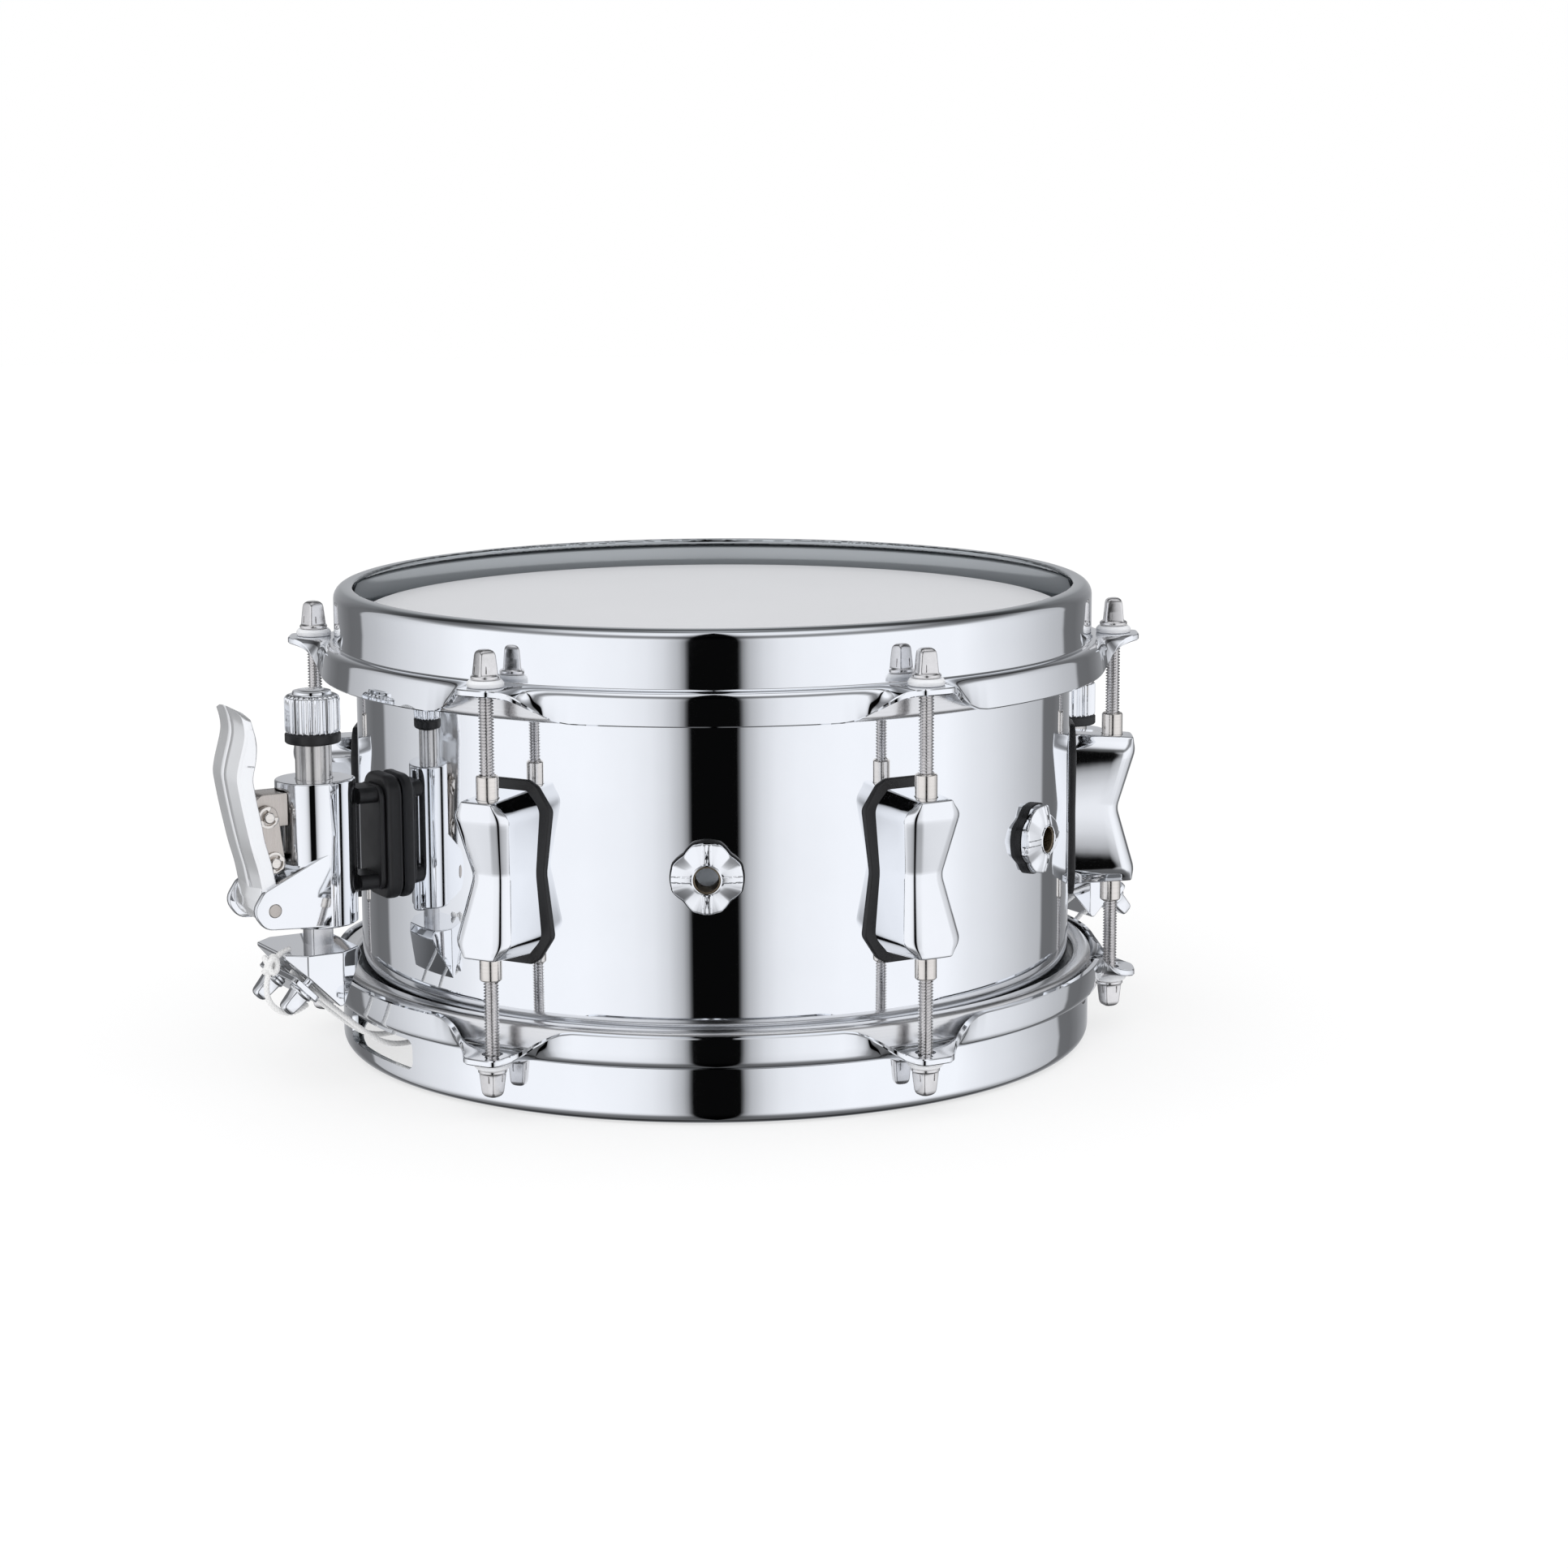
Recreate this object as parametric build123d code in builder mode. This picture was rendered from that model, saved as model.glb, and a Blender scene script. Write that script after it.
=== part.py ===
from build123d import *
import math
import os

# ---------------------------------------------------------------------------
# Snare drum, 10 x 5.5 inch, chromed steel shell.
# Frame: +Z up along the drum's axis, origin on the axis in the plane of the
# bottom rim.  The throw-off (strainer) stands on the -X side, the butt end
# on the +X side.  Six lugs, the first at 30 degrees from +X.
# All lengths in millimetres.
# ---------------------------------------------------------------------------

# overall
HEIGHT = 168.0            # bottom rim to top rim
N_LUG = 6
LUG_ANGLES = [30 + 60 * i for i in range(N_LUG)]
VENT_ANGLES = [60, 120, 240, 300]

# shell
SHELL_R = 130.4           # outside radius
SHELL_T = 1.0
SHELL_Z0 = 18.3           # lower bearing edge
SHELL_Z1 = 158.0          # upper bearing edge, depth 139.7 (5.5 inch)
EDGE_R = 126.8            # crest of the bearing edge
EDGE_H = 3.6

# hoops, one pressed section used twice
HOOP_T = 2.3
HOOP_WALL_R = 138.0
HOOP_LIP_R = 130.8
HOOP_LEDGE_Z = 20.0
HOOP_SKIRT_Z = 31.6
HOOP_SKIRT_R = 143.4
EAR_R = 155.6
GATE_HALF_DEG = 11.0
GATE_Z0, GATE_Z1 = 7.0, 17.8

# heads
FLESH_IN, FLESH_OUT, FLESH_H = 132.2, 139.0, 10.0
FILM_T = 0.25

# tension rods
ROD_CIRCLE = 146.5
ROD_R = 2.65
ROD_FLANGE_R = 5.0
WASHER_R, WASHER_T = 6.3, 2.5
KEY_W0, KEY_W1, KEY_H = 7.0, 5.7, 8.4

# lugs
LUG_MID_Z = 83.0
LUG_BACK_R = 132.4
NUT_R, NUT_BORE_R = 3.8, 3.88
NUT_OUT = 8.4             # nut showing beyond the lug's end

# strainer and butt, distances from the drum's axis along the X axis
AX_R = 158.6              # axis of the adjusting cylinder
HOUS_R = 13.7
CYL_R = 6.35
BORE_R = 6.43
KNOB_R = 9.6
PIVOT = (-179.8, 66.6)    # lever pivot, x and z
LINK_A = (-179.2, 98.3)   # link pin at the carriage
LINK_B = (-177.3, 82.2)   # link pin at the lever
CORD_R = 1.0
CORD_Y = 8.0

os.makedirs("parts", exist_ok=True)


def polar_pt(r, deg):
    return (r * math.cos(math.radians(deg)), r * math.sin(math.radians(deg)))


def lug_plane(deg, r=0.0, z=0.0):
    """Plane whose X runs round the drum, Y runs up and Z points outwards."""
    x, y = polar_pt(r, deg)
    a = math.radians(deg)
    return Plane(
        origin=(x, y, z),
        x_dir=(-math.sin(a), math.cos(a), 0),
        z_dir=(math.cos(a), math.sin(a), 0),
    )


def save(part, label):
    part.label = label
    export_step(part, "parts/%s.step" % label)
    solids = part.solids()
    print("%-26s %2d solids %10.1f mm3" % (label, len(solids), part.volume))


# ---------------------------------------------------------------------------
# 1. Shell: thin steel cylinder with 45 degree rolled bearing edges
# ---------------------------------------------------------------------------
with BuildPart() as shell:
    with BuildSketch(Plane.XZ) as shell_profile:
        with BuildLine():
            Polyline(
                (EDGE_R, SHELL_Z0),
                (SHELL_R, SHELL_Z0 + EDGE_H),
                (SHELL_R, SHELL_Z1 - EDGE_H),
                (EDGE_R, SHELL_Z1),
                (EDGE_R - SHELL_T, SHELL_Z1 - 0.6),
                (EDGE_R - SHELL_T, SHELL_Z1 - 2.0),
                (SHELL_R - SHELL_T, SHELL_Z1 - EDGE_H - 1.4),
                (SHELL_R - SHELL_T, SHELL_Z0 + EDGE_H + 1.4),
                (EDGE_R - SHELL_T, SHELL_Z0 + 2.0),
                (EDGE_R - SHELL_T, SHELL_Z0 + 0.6),
                close=True,
            )
        make_face()
    revolve(axis=Axis.Z)
    # vent holes
    for deg in VENT_ANGLES:
        with BuildSketch(lug_plane(deg, 110, LUG_MID_Z + 1)):
            Circle(6.1)
        extrude(amount=30, mode=Mode.SUBTRACT)
    # two screw holes for every lug
    for deg in LUG_ANGLES:
        with BuildSketch(lug_plane(deg, 110, LUG_MID_Z)):
            with Locations((0, -15), (0, 15)):
                Circle(2.2)
        extrude(amount=30, mode=Mode.SUBTRACT)
    # two screw holes for the strainer and two for the butt
    for deg in (0, 180):
        with BuildSketch(lug_plane(deg, 110, 86.5 if deg else 79.5)):
            with Locations((0, -12), (0, 12)):
                Circle(2.2)
        extrude(amount=30, mode=Mode.SUBTRACT)

# ---------------------------------------------------------------------------
# 2. Hoops: curled rim, wall, ledge and turned skirt, with six claw ears
# ---------------------------------------------------------------------------


def hoop_profile_points(flip):
    pts = [
        (HOOP_LIP_R, 0.0),
        (HOOP_WALL_R, 0.0),
        (HOOP_WALL_R, HOOP_LEDGE_Z),
        (HOOP_SKIRT_R - 1.2, HOOP_LEDGE_Z),
        (HOOP_SKIRT_R, HOOP_SKIRT_Z),
        (HOOP_SKIRT_R - HOOP_T, HOOP_SKIRT_Z),
        (HOOP_SKIRT_R - 1.2 - HOOP_T, HOOP_LEDGE_Z + HOOP_T),
        (HOOP_WALL_R - HOOP_T, HOOP_LEDGE_Z + HOOP_T),
        (HOOP_WALL_R - HOOP_T, HOOP_T),
        (HOOP_LIP_R, HOOP_T),
    ]
    return [(r, HEIGHT - z if flip else z) for r, z in pts]


HOOP_FILLETS = [(0, 0.9), (1, 4.4), (2, 0.8), (3, 3.3), (6, 1.0), (7, 3.0), (8, 2.1), (9, 0.9)]


def vertex_at(verts, p):
    return min(verts, key=lambda v: (v.X - p[0]) ** 2 + (v.Y - p[1]) ** 2)


def make_hoop(flip):
    pts = hoop_profile_points(flip)
    s = -1 if flip else 1
    z_ledge = HEIGHT - HOOP_LEDGE_Z if flip else HOOP_LEDGE_Z
    with BuildSketch() as prof:
        with BuildLine():
            Polyline(*pts, close=True)
        make_face()
        for i, rad in HOOP_FILLETS:
            fillet(vertex_at(prof.vertices(), pts[i]), rad)
    with BuildPart() as hoop:
        with BuildSketch(Plane.XZ):
            add(prof.sketch)
        revolve(axis=Axis.Z)
        for deg in LUG_ANGLES:
            # the skirt arches up to the ledge around every ear
            with BuildSketch(lug_plane(deg, HOOP_WALL_R - 0.3, z_ledge)):
                with BuildLine():
                    Spline((-27, s * 12.5), (-20, s * 9.3), (-13, s * 4.6), (-8.6, s * (HOOP_T + 0.01)))
                    Line((-8.6, s * (HOOP_T + 0.01)), (8.6, s * (HOOP_T + 0.01)))
                    Spline((8.6, s * (HOOP_T + 0.01)), (13, s * 4.6), (20, s * 9.3), (27, s * 12.5))
                    Polyline((27, s * 12.5), (27, s * 16), (-27, s * 16), (-27, s * 12.5))
                make_face()
            extrude(amount=30, mode=Mode.SUBTRACT)
            # ear plate
            a = math.radians(deg)
            z_low = z_ledge - HOOP_T if flip else z_ledge
            ear_plane = Plane(
                origin=(0, 0, z_low),
                x_dir=(math.cos(a), math.sin(a), 0),
                z_dir=(0, 0, 1),
            )
            with BuildSketch(ear_plane) as ear:
                with BuildLine():
                    Polyline(
                        (HOOP_WALL_R + 1.0, -20), (140.6, -19.5), (146.5, -10.5), (153.0, -8.2),
                        (EAR_R, -5.4), (EAR_R, 5.4), (153.0, 8.2), (146.5, 10.5),
                        (140.6, 19.5), (HOOP_WALL_R + 1.0, 20), close=True,
                    )
                make_face()
                fillet(ear.vertices().filter_by(lambda v: (v.X**2 + v.Y**2) ** 0.5 > 150), 1.6)
                with Locations((ROD_CIRCLE, 0)):
                    Circle(3.6, mode=Mode.SUBTRACT)
            extrude(amount=HOOP_T)
            with BuildSketch(ear_plane):
                with Locations((ROD_CIRCLE, 0)):
                    Circle(3.6)
            extrude(amount=HOOP_T, mode=Mode.SUBTRACT)
    return hoop


batter_hoop = make_hoop(True)
snare_side_hoop = make_hoop(False)

# snare gates through the wall of the lower hoop
with BuildPart() as snare_side_hoop_cut:
    add(snare_side_hoop.part)
    for deg in (0, 180):
        with BuildSketch(lug_plane(deg, 120, (GATE_Z0 + GATE_Z1) / 2)):
            RectangleRounded(
                2 * HOOP_WALL_R * math.sin(math.radians(GATE_HALF_DEG)), GATE_Z1 - GATE_Z0, 3.2
            )
        extrude(amount=19.6, mode=Mode.SUBTRACT)

# ---------------------------------------------------------------------------
# 3. Heads: film over the bearing edge, and the flesh hoop that holds it
# ---------------------------------------------------------------------------


def make_film(flip):
    g = 0.03

    def zz(z):
        return HEIGHT - z if flip else z

    top = HEIGHT - SHELL_Z1 if flip else SHELL_Z0
    col = 21.6 if flip else 25.2
    with BuildPart() as film:
        with BuildSketch(Plane.XZ):
            with BuildLine():
                Polyline(
                    (0, zz(top - g)),
                    (EDGE_R + 0.1, zz(top - g)),
                    (SHELL_R + 0.25, zz(top + EDGE_H - 0.1)),
                    (FLESH_IN - 0.05, zz(col)),
                    (FLESH_IN - 0.05, zz(col - 0.6)),
                    (SHELL_R + 0.55, zz(top + EDGE_H - 0.35)),
                    (EDGE_R + 0.3, zz(top - g - FILM_T)),
                    (0, zz(top - g - FILM_T)),
                    close=True,
                )
            make_face()
        revolve(axis=Axis.Z)
    return film


def make_flesh(flip):
    z0 = HOOP_LEDGE_Z + HOOP_T + 0.02
    with BuildSketch() as prof:
        with BuildLine():
            pts = [
                (FLESH_IN, z0 + 1.4), (FLESH_IN, z0 + FLESH_H), (FLESH_OUT, z0 + FLESH_H),
                (FLESH_OUT, z0 + 1.2), (FLESH_OUT - 1.0, z0), (FLESH_IN + 5.2, z0),
            ]
            pts = [(r, HEIGHT - z if flip else z) for r, z in pts]
            Polyline(*pts, close=True)
        make_face()
        for p in pts[1:3]:
            fillet(vertex_at(prof.vertices(), p), 1.6)
    with BuildPart() as flesh:
        with BuildSketch(Plane.XZ):
            add(prof.sketch)
        revolve(axis=Axis.Z)
    return flesh


batter_head_film = make_film(True)
snare_side_head_film = make_film(False)
batter_flesh_hoop = make_flesh(True)
snare_side_flesh_hoop = make_flesh(False)

# ---------------------------------------------------------------------------
# 4. Lugs, their gaskets, swivel nuts and mounting screws
# ---------------------------------------------------------------------------
LUG_SECTIONS = [  # height from the middle, base half width, ridge half width and radius, nose half width and radius
    (-26.8, 5.9, 5.8, 152.2, 5.0, 153.9),
    (-21.8, 11.3, 11.2, 150.8, 6.1, 154.6),
    (0.0, 9.4, 7.2, 145.4, 2.7, 148.4),
    (21.8, 11.3, 11.2, 150.8, 6.1, 154.6),
    (26.8, 5.9, 5.8, 152.2, 5.0, 153.9),
]


def lug_section(deg, sec):
    dz, b, g, gr, o, orr = sec
    a = math.radians(deg)
    plane = Plane(
        origin=(0, 0, LUG_MID_Z + dz), x_dir=(math.cos(a), math.sin(a), 0), z_dir=(0, 0, 1)
    )
    return plane, [(LUG_BACK_R, -b), (gr, -g), (orr, -o), (orr, o), (gr, g), (LUG_BACK_R, b)]


lug_rings = {}
for deg in LUG_ANGLES:
    lug_rings[deg] = []
    for sec in LUG_SECTIONS:
        plane, pts = lug_section(deg, sec)
        with BuildSketch(plane) as sk:
            with BuildLine():
                Polyline(*pts, close=True)
            make_face()
        lug_rings[deg].append(sk.sketch.faces()[0])

with BuildPart() as lug_bodies:
    for deg in LUG_ANGLES:
        loft(lug_rings[deg], ruled=True)
    for deg in LUG_ANGLES:
        x, y = polar_pt(ROD_CIRCLE, deg)
        for z0 in (LUG_MID_Z - 27.0, LUG_MID_Z + 27.0 - 14.2):
            with BuildSketch(Plane.XY.offset(z0)):
                with Locations((x, y)):
                    Circle(NUT_BORE_R)
            extrude(amount=14.2, mode=Mode.SUBTRACT)
        for z0 in (LUG_MID_Z - 13.0, LUG_MID_Z + 7.0):
            with BuildSketch(Plane.XY.offset(z0)):
                with Locations((x, y)):
                    Circle(2.95)
            extrude(amount=6.0, mode=Mode.SUBTRACT)
        with BuildSketch(lug_plane(deg, LUG_BACK_R - 1, LUG_MID_Z)):
            with Locations((0, -15), (0, 15)):
                Circle(2.05)
        extrude(amount=9.5, mode=Mode.SUBTRACT)

with BuildPart() as lug_gaskets:
    for deg in LUG_ANGLES:
        with BuildSketch(lug_plane(deg, 120, LUG_MID_Z)) as gk:
            with BuildLine():
                Polyline(
                    (-6.8, -31.8), (6.8, -31.8), (11.2, -29.8), (17.0, -21.8), (14.0, 0.0),
                    (17.0, 21.8), (11.2, 29.8), (6.8, 31.8), (-6.8, 31.8), (-11.2, 29.8),
                    (-17.0, 21.8), (-14.0, 0.0), (-17.0, -21.8), (-11.2, -29.8), close=True,
                )
            make_face()
            with Locations((0, -15), (0, 15)):
                Circle(2.2, mode=Mode.SUBTRACT)
        extrude(amount=12.35)
    with BuildSketch(Plane.XY):
        Circle(SHELL_R + 0.04)
    extrude(amount=HEIGHT, mode=Mode.SUBTRACT)

with BuildPart() as swivel_nuts:
    for deg in LUG_ANGLES:
        x, y = polar_pt(ROD_CIRCLE, deg)
        for z0 in (LUG_MID_Z - 26.8 - NUT_OUT, LUG_MID_Z + 26.8 - 14.0):
            with BuildSketch(Plane.XY.offset(z0)):
                with Locations((x, y)):
                    Circle(NUT_R)
                    Circle(ROD_R + 0.05, mode=Mode.SUBTRACT)
            extrude(amount=NUT_OUT + 14.0)

with BuildPart() as lug_screws:
    for deg in LUG_ANGLES:
        with BuildSketch(lug_plane(deg, SHELL_R - SHELL_T - 0.1 - 4.2, LUG_MID_Z)):
            with Locations((0, -15), (0, 15)):
                Circle(3.9)
        extrude(amount=2.8)
        with BuildSketch(lug_plane(deg, SHELL_R - SHELL_T - 0.1 - 1.4, LUG_MID_Z)):
            with Locations((0, -15), (0, 15)):
                Circle(5.2)
        extrude(amount=1.2)
        with BuildSketch(lug_plane(deg, SHELL_R - SHELL_T - 0.1 - 0.2, LUG_MID_Z)):
            with Locations((0, -15), (0, 15)):
                Circle(2.0)
        extrude(amount=11.2)

# ---------------------------------------------------------------------------
# 5. Vents: a lobed chrome rosette, its gasket and the sleeve through the shell
# ---------------------------------------------------------------------------
VZ = LUG_MID_Z + 1
VENT_R = 131.9
with BuildPart() as vent_rosettes:
    for deg in VENT_ANGLES:
        with BuildSketch(lug_plane(deg, VENT_R, VZ)) as ro:
            Circle(9.2)
            with PolarLocations(7.6, 4, start_angle=0):
                Circle(3.7)
            Circle(4.6, mode=Mode.SUBTRACT)
        extrude(amount=2.4)
        with BuildSketch(lug_plane(deg, VENT_R + 2.4, VZ)):
            Circle(8.6)
        with BuildSketch(lug_plane(deg, VENT_R + 6.0, VZ)):
            Circle(5.9)
        loft()
        with BuildSketch(lug_plane(deg, VENT_R, VZ)):
            Circle(4.6)
        extrude(amount=8.0, mode=Mode.SUBTRACT)

with BuildPart() as vent_gaskets:
    for deg in VENT_ANGLES:
        with BuildSketch(lug_plane(deg, 120.0, VZ)):
            Circle(9.9)
            with PolarLocations(7.6, 4, start_angle=0):
                Circle(4.5)
            Circle(6.1, mode=Mode.SUBTRACT)
        extrude(amount=VENT_R - 120.05)
    with BuildSketch(Plane.XY):
        Circle(SHELL_R + 0.04)
    extrude(amount=HEIGHT, mode=Mode.SUBTRACT)

with BuildPart() as vent_sleeves:
    for deg in VENT_ANGLES:
        with BuildSketch(lug_plane(deg, SHELL_R - 3.4, VZ)):
            Circle(4.55)
            Circle(3.9, mode=Mode.SUBTRACT)
        extrude(amount=VENT_R + 5.0 - SHELL_R + 3.4)
        with BuildSketch(lug_plane(deg, SHELL_R - 3.0, VZ)):
            Circle(8.0)
            Circle(3.9, mode=Mode.SUBTRACT)
        extrude(amount=1.5)

# ---------------------------------------------------------------------------
# 6. Tension rods (twelve) and their washers
# ---------------------------------------------------------------------------


def make_rod(deg, top):
    x, y = polar_pt(ROD_CIRCLE, deg)
    ear_z = HEIGHT - HOOP_LEDGE_Z if top else HOOP_LEDGE_Z
    s = 1 if top else -1
    z_fl = ear_z + s * (WASHER_T + 0.05)
    z_tip = LUG_MID_Z + s * 13.6
    spin = Plane(origin=(x, y, 0), x_dir=(math.cos(math.radians(deg)), math.sin(math.radians(deg)), 0), z_dir=(0, 0, s))
    with BuildPart() as rod:
        with BuildSketch(spin.offset(s * z_tip)):
            Circle(ROD_R)
        extrude(amount=abs(z_fl - z_tip) + 0.5)
        with BuildSketch(spin.offset(s * z_fl)):
            Circle(ROD_FLANGE_R)
        extrude(amount=1.7)
        with BuildSketch(spin.offset(s * z_fl + 1.7)):
            RectangleRounded(KEY_W0, KEY_W0, 0.9)
        with BuildSketch(spin.offset(s * z_fl + 1.7 + KEY_H)):
            RectangleRounded(KEY_W1, KEY_W1, 0.9)
        loft()
        chamfer(rod.faces().sort_by(Axis.Z)[-1 if top else 0].edges(), 0.7)
    return rod


rods = {}
for i, deg in enumerate(LUG_ANGLES):
    rods["tension_rod_top_%d" % (i + 1)] = make_rod(deg, True)
    rods["tension_rod_bottom_%d" % (i + 1)] = make_rod(deg, False)

with BuildPart() as rod_washers:
    for deg in LUG_ANGLES:
        x, y = polar_pt(ROD_CIRCLE, deg)
        for z0 in (HEIGHT - HOOP_LEDGE_Z, HOOP_LEDGE_Z - WASHER_T):
            with BuildSketch(Plane.XY.offset(z0)):
                with Locations((x, y)):
                    Circle(WASHER_R)
                    Circle(ROD_R + 0.35, mode=Mode.SUBTRACT)
            extrude(amount=WASHER_T)

# ---------------------------------------------------------------------------
# 7. Strainer (sx = -1) and butt end (sx = +1)
# ---------------------------------------------------------------------------


def yz_plane(x):
    """Sketch X along +Y, sketch Y along +Z, normal +X."""
    return Plane(origin=(x, 0, 0), x_dir=(0, 1, 0), z_dir=(1, 0, 0))


def xz_plane(y):
    """Sketch X along +X, sketch Y along +Z, normal -Y."""
    return Plane(origin=(0, y, 0), x_dir=(1, 0, 0), z_dir=(0, -1, 0))


def make_gasket(sx, zc, h):
    with BuildPart() as gasket:
        with BuildSketch(yz_plane(sx * 135.8)):
            with Locations((0, zc)):
                RectangleRounded(25.0, h, 6.5)
        extrude(amount=-sx * 12)
        fillet(gasket.faces().sort_by(Axis.X)[0 if sx < 0 else -1].edges(), 2.4)
        with BuildSketch(Plane.XY):
            Circle(SHELL_R + 0.04)
        extrude(amount=HEIGHT, mode=Mode.SUBTRACT)
        with BuildSketch(yz_plane(sx * 125)):
            with Locations((0, zc - 12), (0, zc + 12)):
                Circle(2.2)
        extrude(amount=sx * 20, mode=Mode.SUBTRACT)
    return gasket


def make_base(sx, zc, h):
    """Chromed foot plate on the gasket with two bars out to the housing."""
    x0 = 135.85
    with BuildPart() as base:
        with BuildSketch(yz_plane(sx * x0)):
            with Locations((0, zc)):
                RectangleRounded(18.0, h - 8.0, 4.5)
        extrude(amount=sx * 2.2)
        for zz in (zc - h / 2 + 6.4, zc + h / 2 - 6.4):
            with BuildSketch(yz_plane(sx * (x0 + 1.0))):
                with Locations((0, zz)):
                    RectangleRounded(14.0, 4.6, 1.6)
            extrude(amount=sx * 6.6)
        with BuildSketch(yz_plane(sx * (x0 - 2))):
            with Locations((0, zc - 12), (0, zc + 12)):
                Circle(2.05)
        extrude(amount=sx * 6, mode=Mode.SUBTRACT)
    return base


def make_mount_screws(sx, zc):
    with BuildPart() as screws:
        for zz in (zc - 12, zc + 12):
            with BuildSketch(yz_plane(sx * 125.1)):
                with Locations((0, zz)):
                    Circle(3.9)
            extrude(amount=sx * 2.8)
            with BuildSketch(yz_plane(sx * 127.8)):
                with Locations((0, zz)):
                    Circle(5.2)
            extrude(amount=sx * 1.3)
            with BuildSketch(yz_plane(sx * 129.0)):
                with Locations((0, zz)):
                    Circle(2.0)
            extrude(amount=sx * 9.6)
    return screws


BASE_OUT = 135.85 + 7.6   # outer end of the base's bars


def make_housing(sx, z0, z1, strainer):
    with BuildPart() as housing:
        with BuildSketch(Plane.XY.offset(z0)):
            with Locations((sx * AX_R, 0)):
                Circle(HOUS_R)
        extrude(amount=z1 - z0)
        with BuildSketch(Plane.XY.offset(z0 - 1.0)):
            with Locations((sx * 147.6, 0)):
                Circle(4.1)
        extrude(amount=z1 - z0 + 0.6)
        if strainer:
            # cheeks that carry the lever's pin
            for y0 in (-HOUS_R, 11.2):
                with BuildSketch(xz_plane(y0 + (HOUS_R - 11.2))) as ck:
                    with BuildLine():
                        Polyline(
                            (-158.6, 84.4), (-162.0, 83.0), (-184.4, 72.8), (-187.2, 66.0),
                            (-183.2, 61.0), (-158.6, 59.6), close=True,
                        )
                    make_face()
                    fillet(ck.vertices().sort_by(Axis.X)[0:2], 2.6)
                extrude(amount=HOUS_R - 11.2)
            # room between the cheeks
            with BuildSketch(xz_plane(11.2)):
                with BuildLine():
                    Polyline((-190, 56), (-168.6, 56), (-168.6, 80.4), (-190, 80.4), close=True)
                make_face()
            extrude(amount=22.4, mode=Mode.SUBTRACT)
            # slot for the carriage's arm
            with BuildSketch(yz_plane(-176)):
                with Locations((0, (81.4 + 106.4) / 2)):
                    Rectangle(12.4, 106.4 - 81.4)
            extrude(amount=16, mode=Mode.SUBTRACT)
            with BuildSketch(xz_plane(20)):
                with Locations(PIVOT):
                    Circle(2.52)
            extrude(amount=40, mode=Mode.SUBTRACT)
        with BuildSketch(Plane.XY.offset(z0 - 2)):
            with Locations((sx * AX_R, 0)):
                Circle(BORE_R)
        extrude(amount=z1 - z0 + 4, mode=Mode.SUBTRACT)
        # flat that meets the base's bars
        with BuildSketch(yz_plane(sx * (BASE_OUT + 0.02))):
            with Locations((0, (z0 + z1) / 2)):
                Rectangle(40, z1 - z0 + 10)
        extrude(amount=-sx * 10, mode=Mode.SUBTRACT)
    return housing


def make_cylinder(sx, z0, z1, strainer):
    with BuildPart() as cyl:
        with BuildSketch(Plane.XY.offset(z0)):
            with Locations((sx * AX_R, 0)):
                Circle(CYL_R)
        extrude(amount=z1 - z0)
        if strainer:
            with BuildSketch(xz_plane(5.6)) as arm:
                with BuildLine():
                    Polyline(
                        (-160, 94.3), (-180.0, 94.3), (-183.6, 97.4), (-183.6, 104.6),
                        (-181.6, 105.8), (-160, 105.8), close=True,
                    )
                make_face()
            extrude(amount=11.2)
            with BuildSketch(xz_plane(8)):
                with Locations(LINK_A):
                    Circle(2.05)
            extrude(amount=16, mode=Mode.SUBTRACT)
        # bore for the screw
        with BuildSketch(Plane.XY.offset(z0)):
            with Locations((sx * AX_R, 0)):
                Circle(3.05)
        extrude(amount=z1 - z0, mode=Mode.SUBTRACT)
    return cyl


def make_knob(sx, z0, z1):
    """Fluted chrome cap with a stepped crown."""
    with BuildPart() as knob:
        with BuildSketch(Plane.XY.offset(z0)):
            with Locations((sx * AX_R, 0)):
                Circle(KNOB_R)
                with PolarLocations(KNOB_R + 0.15, 24):
                    Circle(0.55, mode=Mode.SUBTRACT)
        extrude(amount=z1 - z0 - 2.6)
        with BuildSketch(Plane.XY.offset(z1 - 2.6)):
            with Locations((sx * AX_R, 0)):
                Circle(KNOB_R - 0.5)
        with BuildSketch(Plane.XY.offset(z1 - 0.9)):
            with Locations((sx * AX_R, 0)):
                Circle(KNOB_R - 2.4)
        loft()
        with BuildSketch(Plane.XY.offset(z1 - 0.9)):
            with Locations((sx * AX_R, 0)):
                Circle(5.4)
        extrude(amount=0.9)
        # adjusting screw down inside the cylinder
        with BuildSketch(Plane.XY.offset(z0 - 30)):
            with Locations((sx * AX_R, 0)):
                Circle(2.0)
        extrude(amount=30)
    return knob


def make_ring(sx, z0, z1):
    with BuildPart() as ring:
        with BuildSketch(Plane.XY.offset(z0)):
            with Locations((sx * AX_R, 0)):
                Circle(KNOB_R + 0.1)
                Circle(2.05, mode=Mode.SUBTRACT)
        extrude(amount=z1 - z0)
    return ring


def make_bar(sx, z_bot, z_shoulder, z_top):
    """Square bar below, round stem with a threaded bore above."""
    with BuildPart() as bar:
        with BuildSketch(Plane.XY.offset(z_bot)):
            with Locations((sx * AX_R, 0)):
                RectangleRounded(8.2, 9.0, 0.8)
        extrude(amount=z_shoulder - z_bot)
        with BuildSketch(Plane.XY.offset(z_shoulder - 0.5)):
            with Locations((sx * AX_R, 0)):
                Circle(2.98)
        extrude(amount=z_top - z_shoulder + 0.5)
        with BuildSketch(Plane.XY.offset(z_shoulder + 8)):
            with Locations((sx * AX_R, 0)):
                Circle(2.06)
        extrude(amount=z_top - z_shoulder, mode=Mode.SUBTRACT)
    return bar


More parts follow.
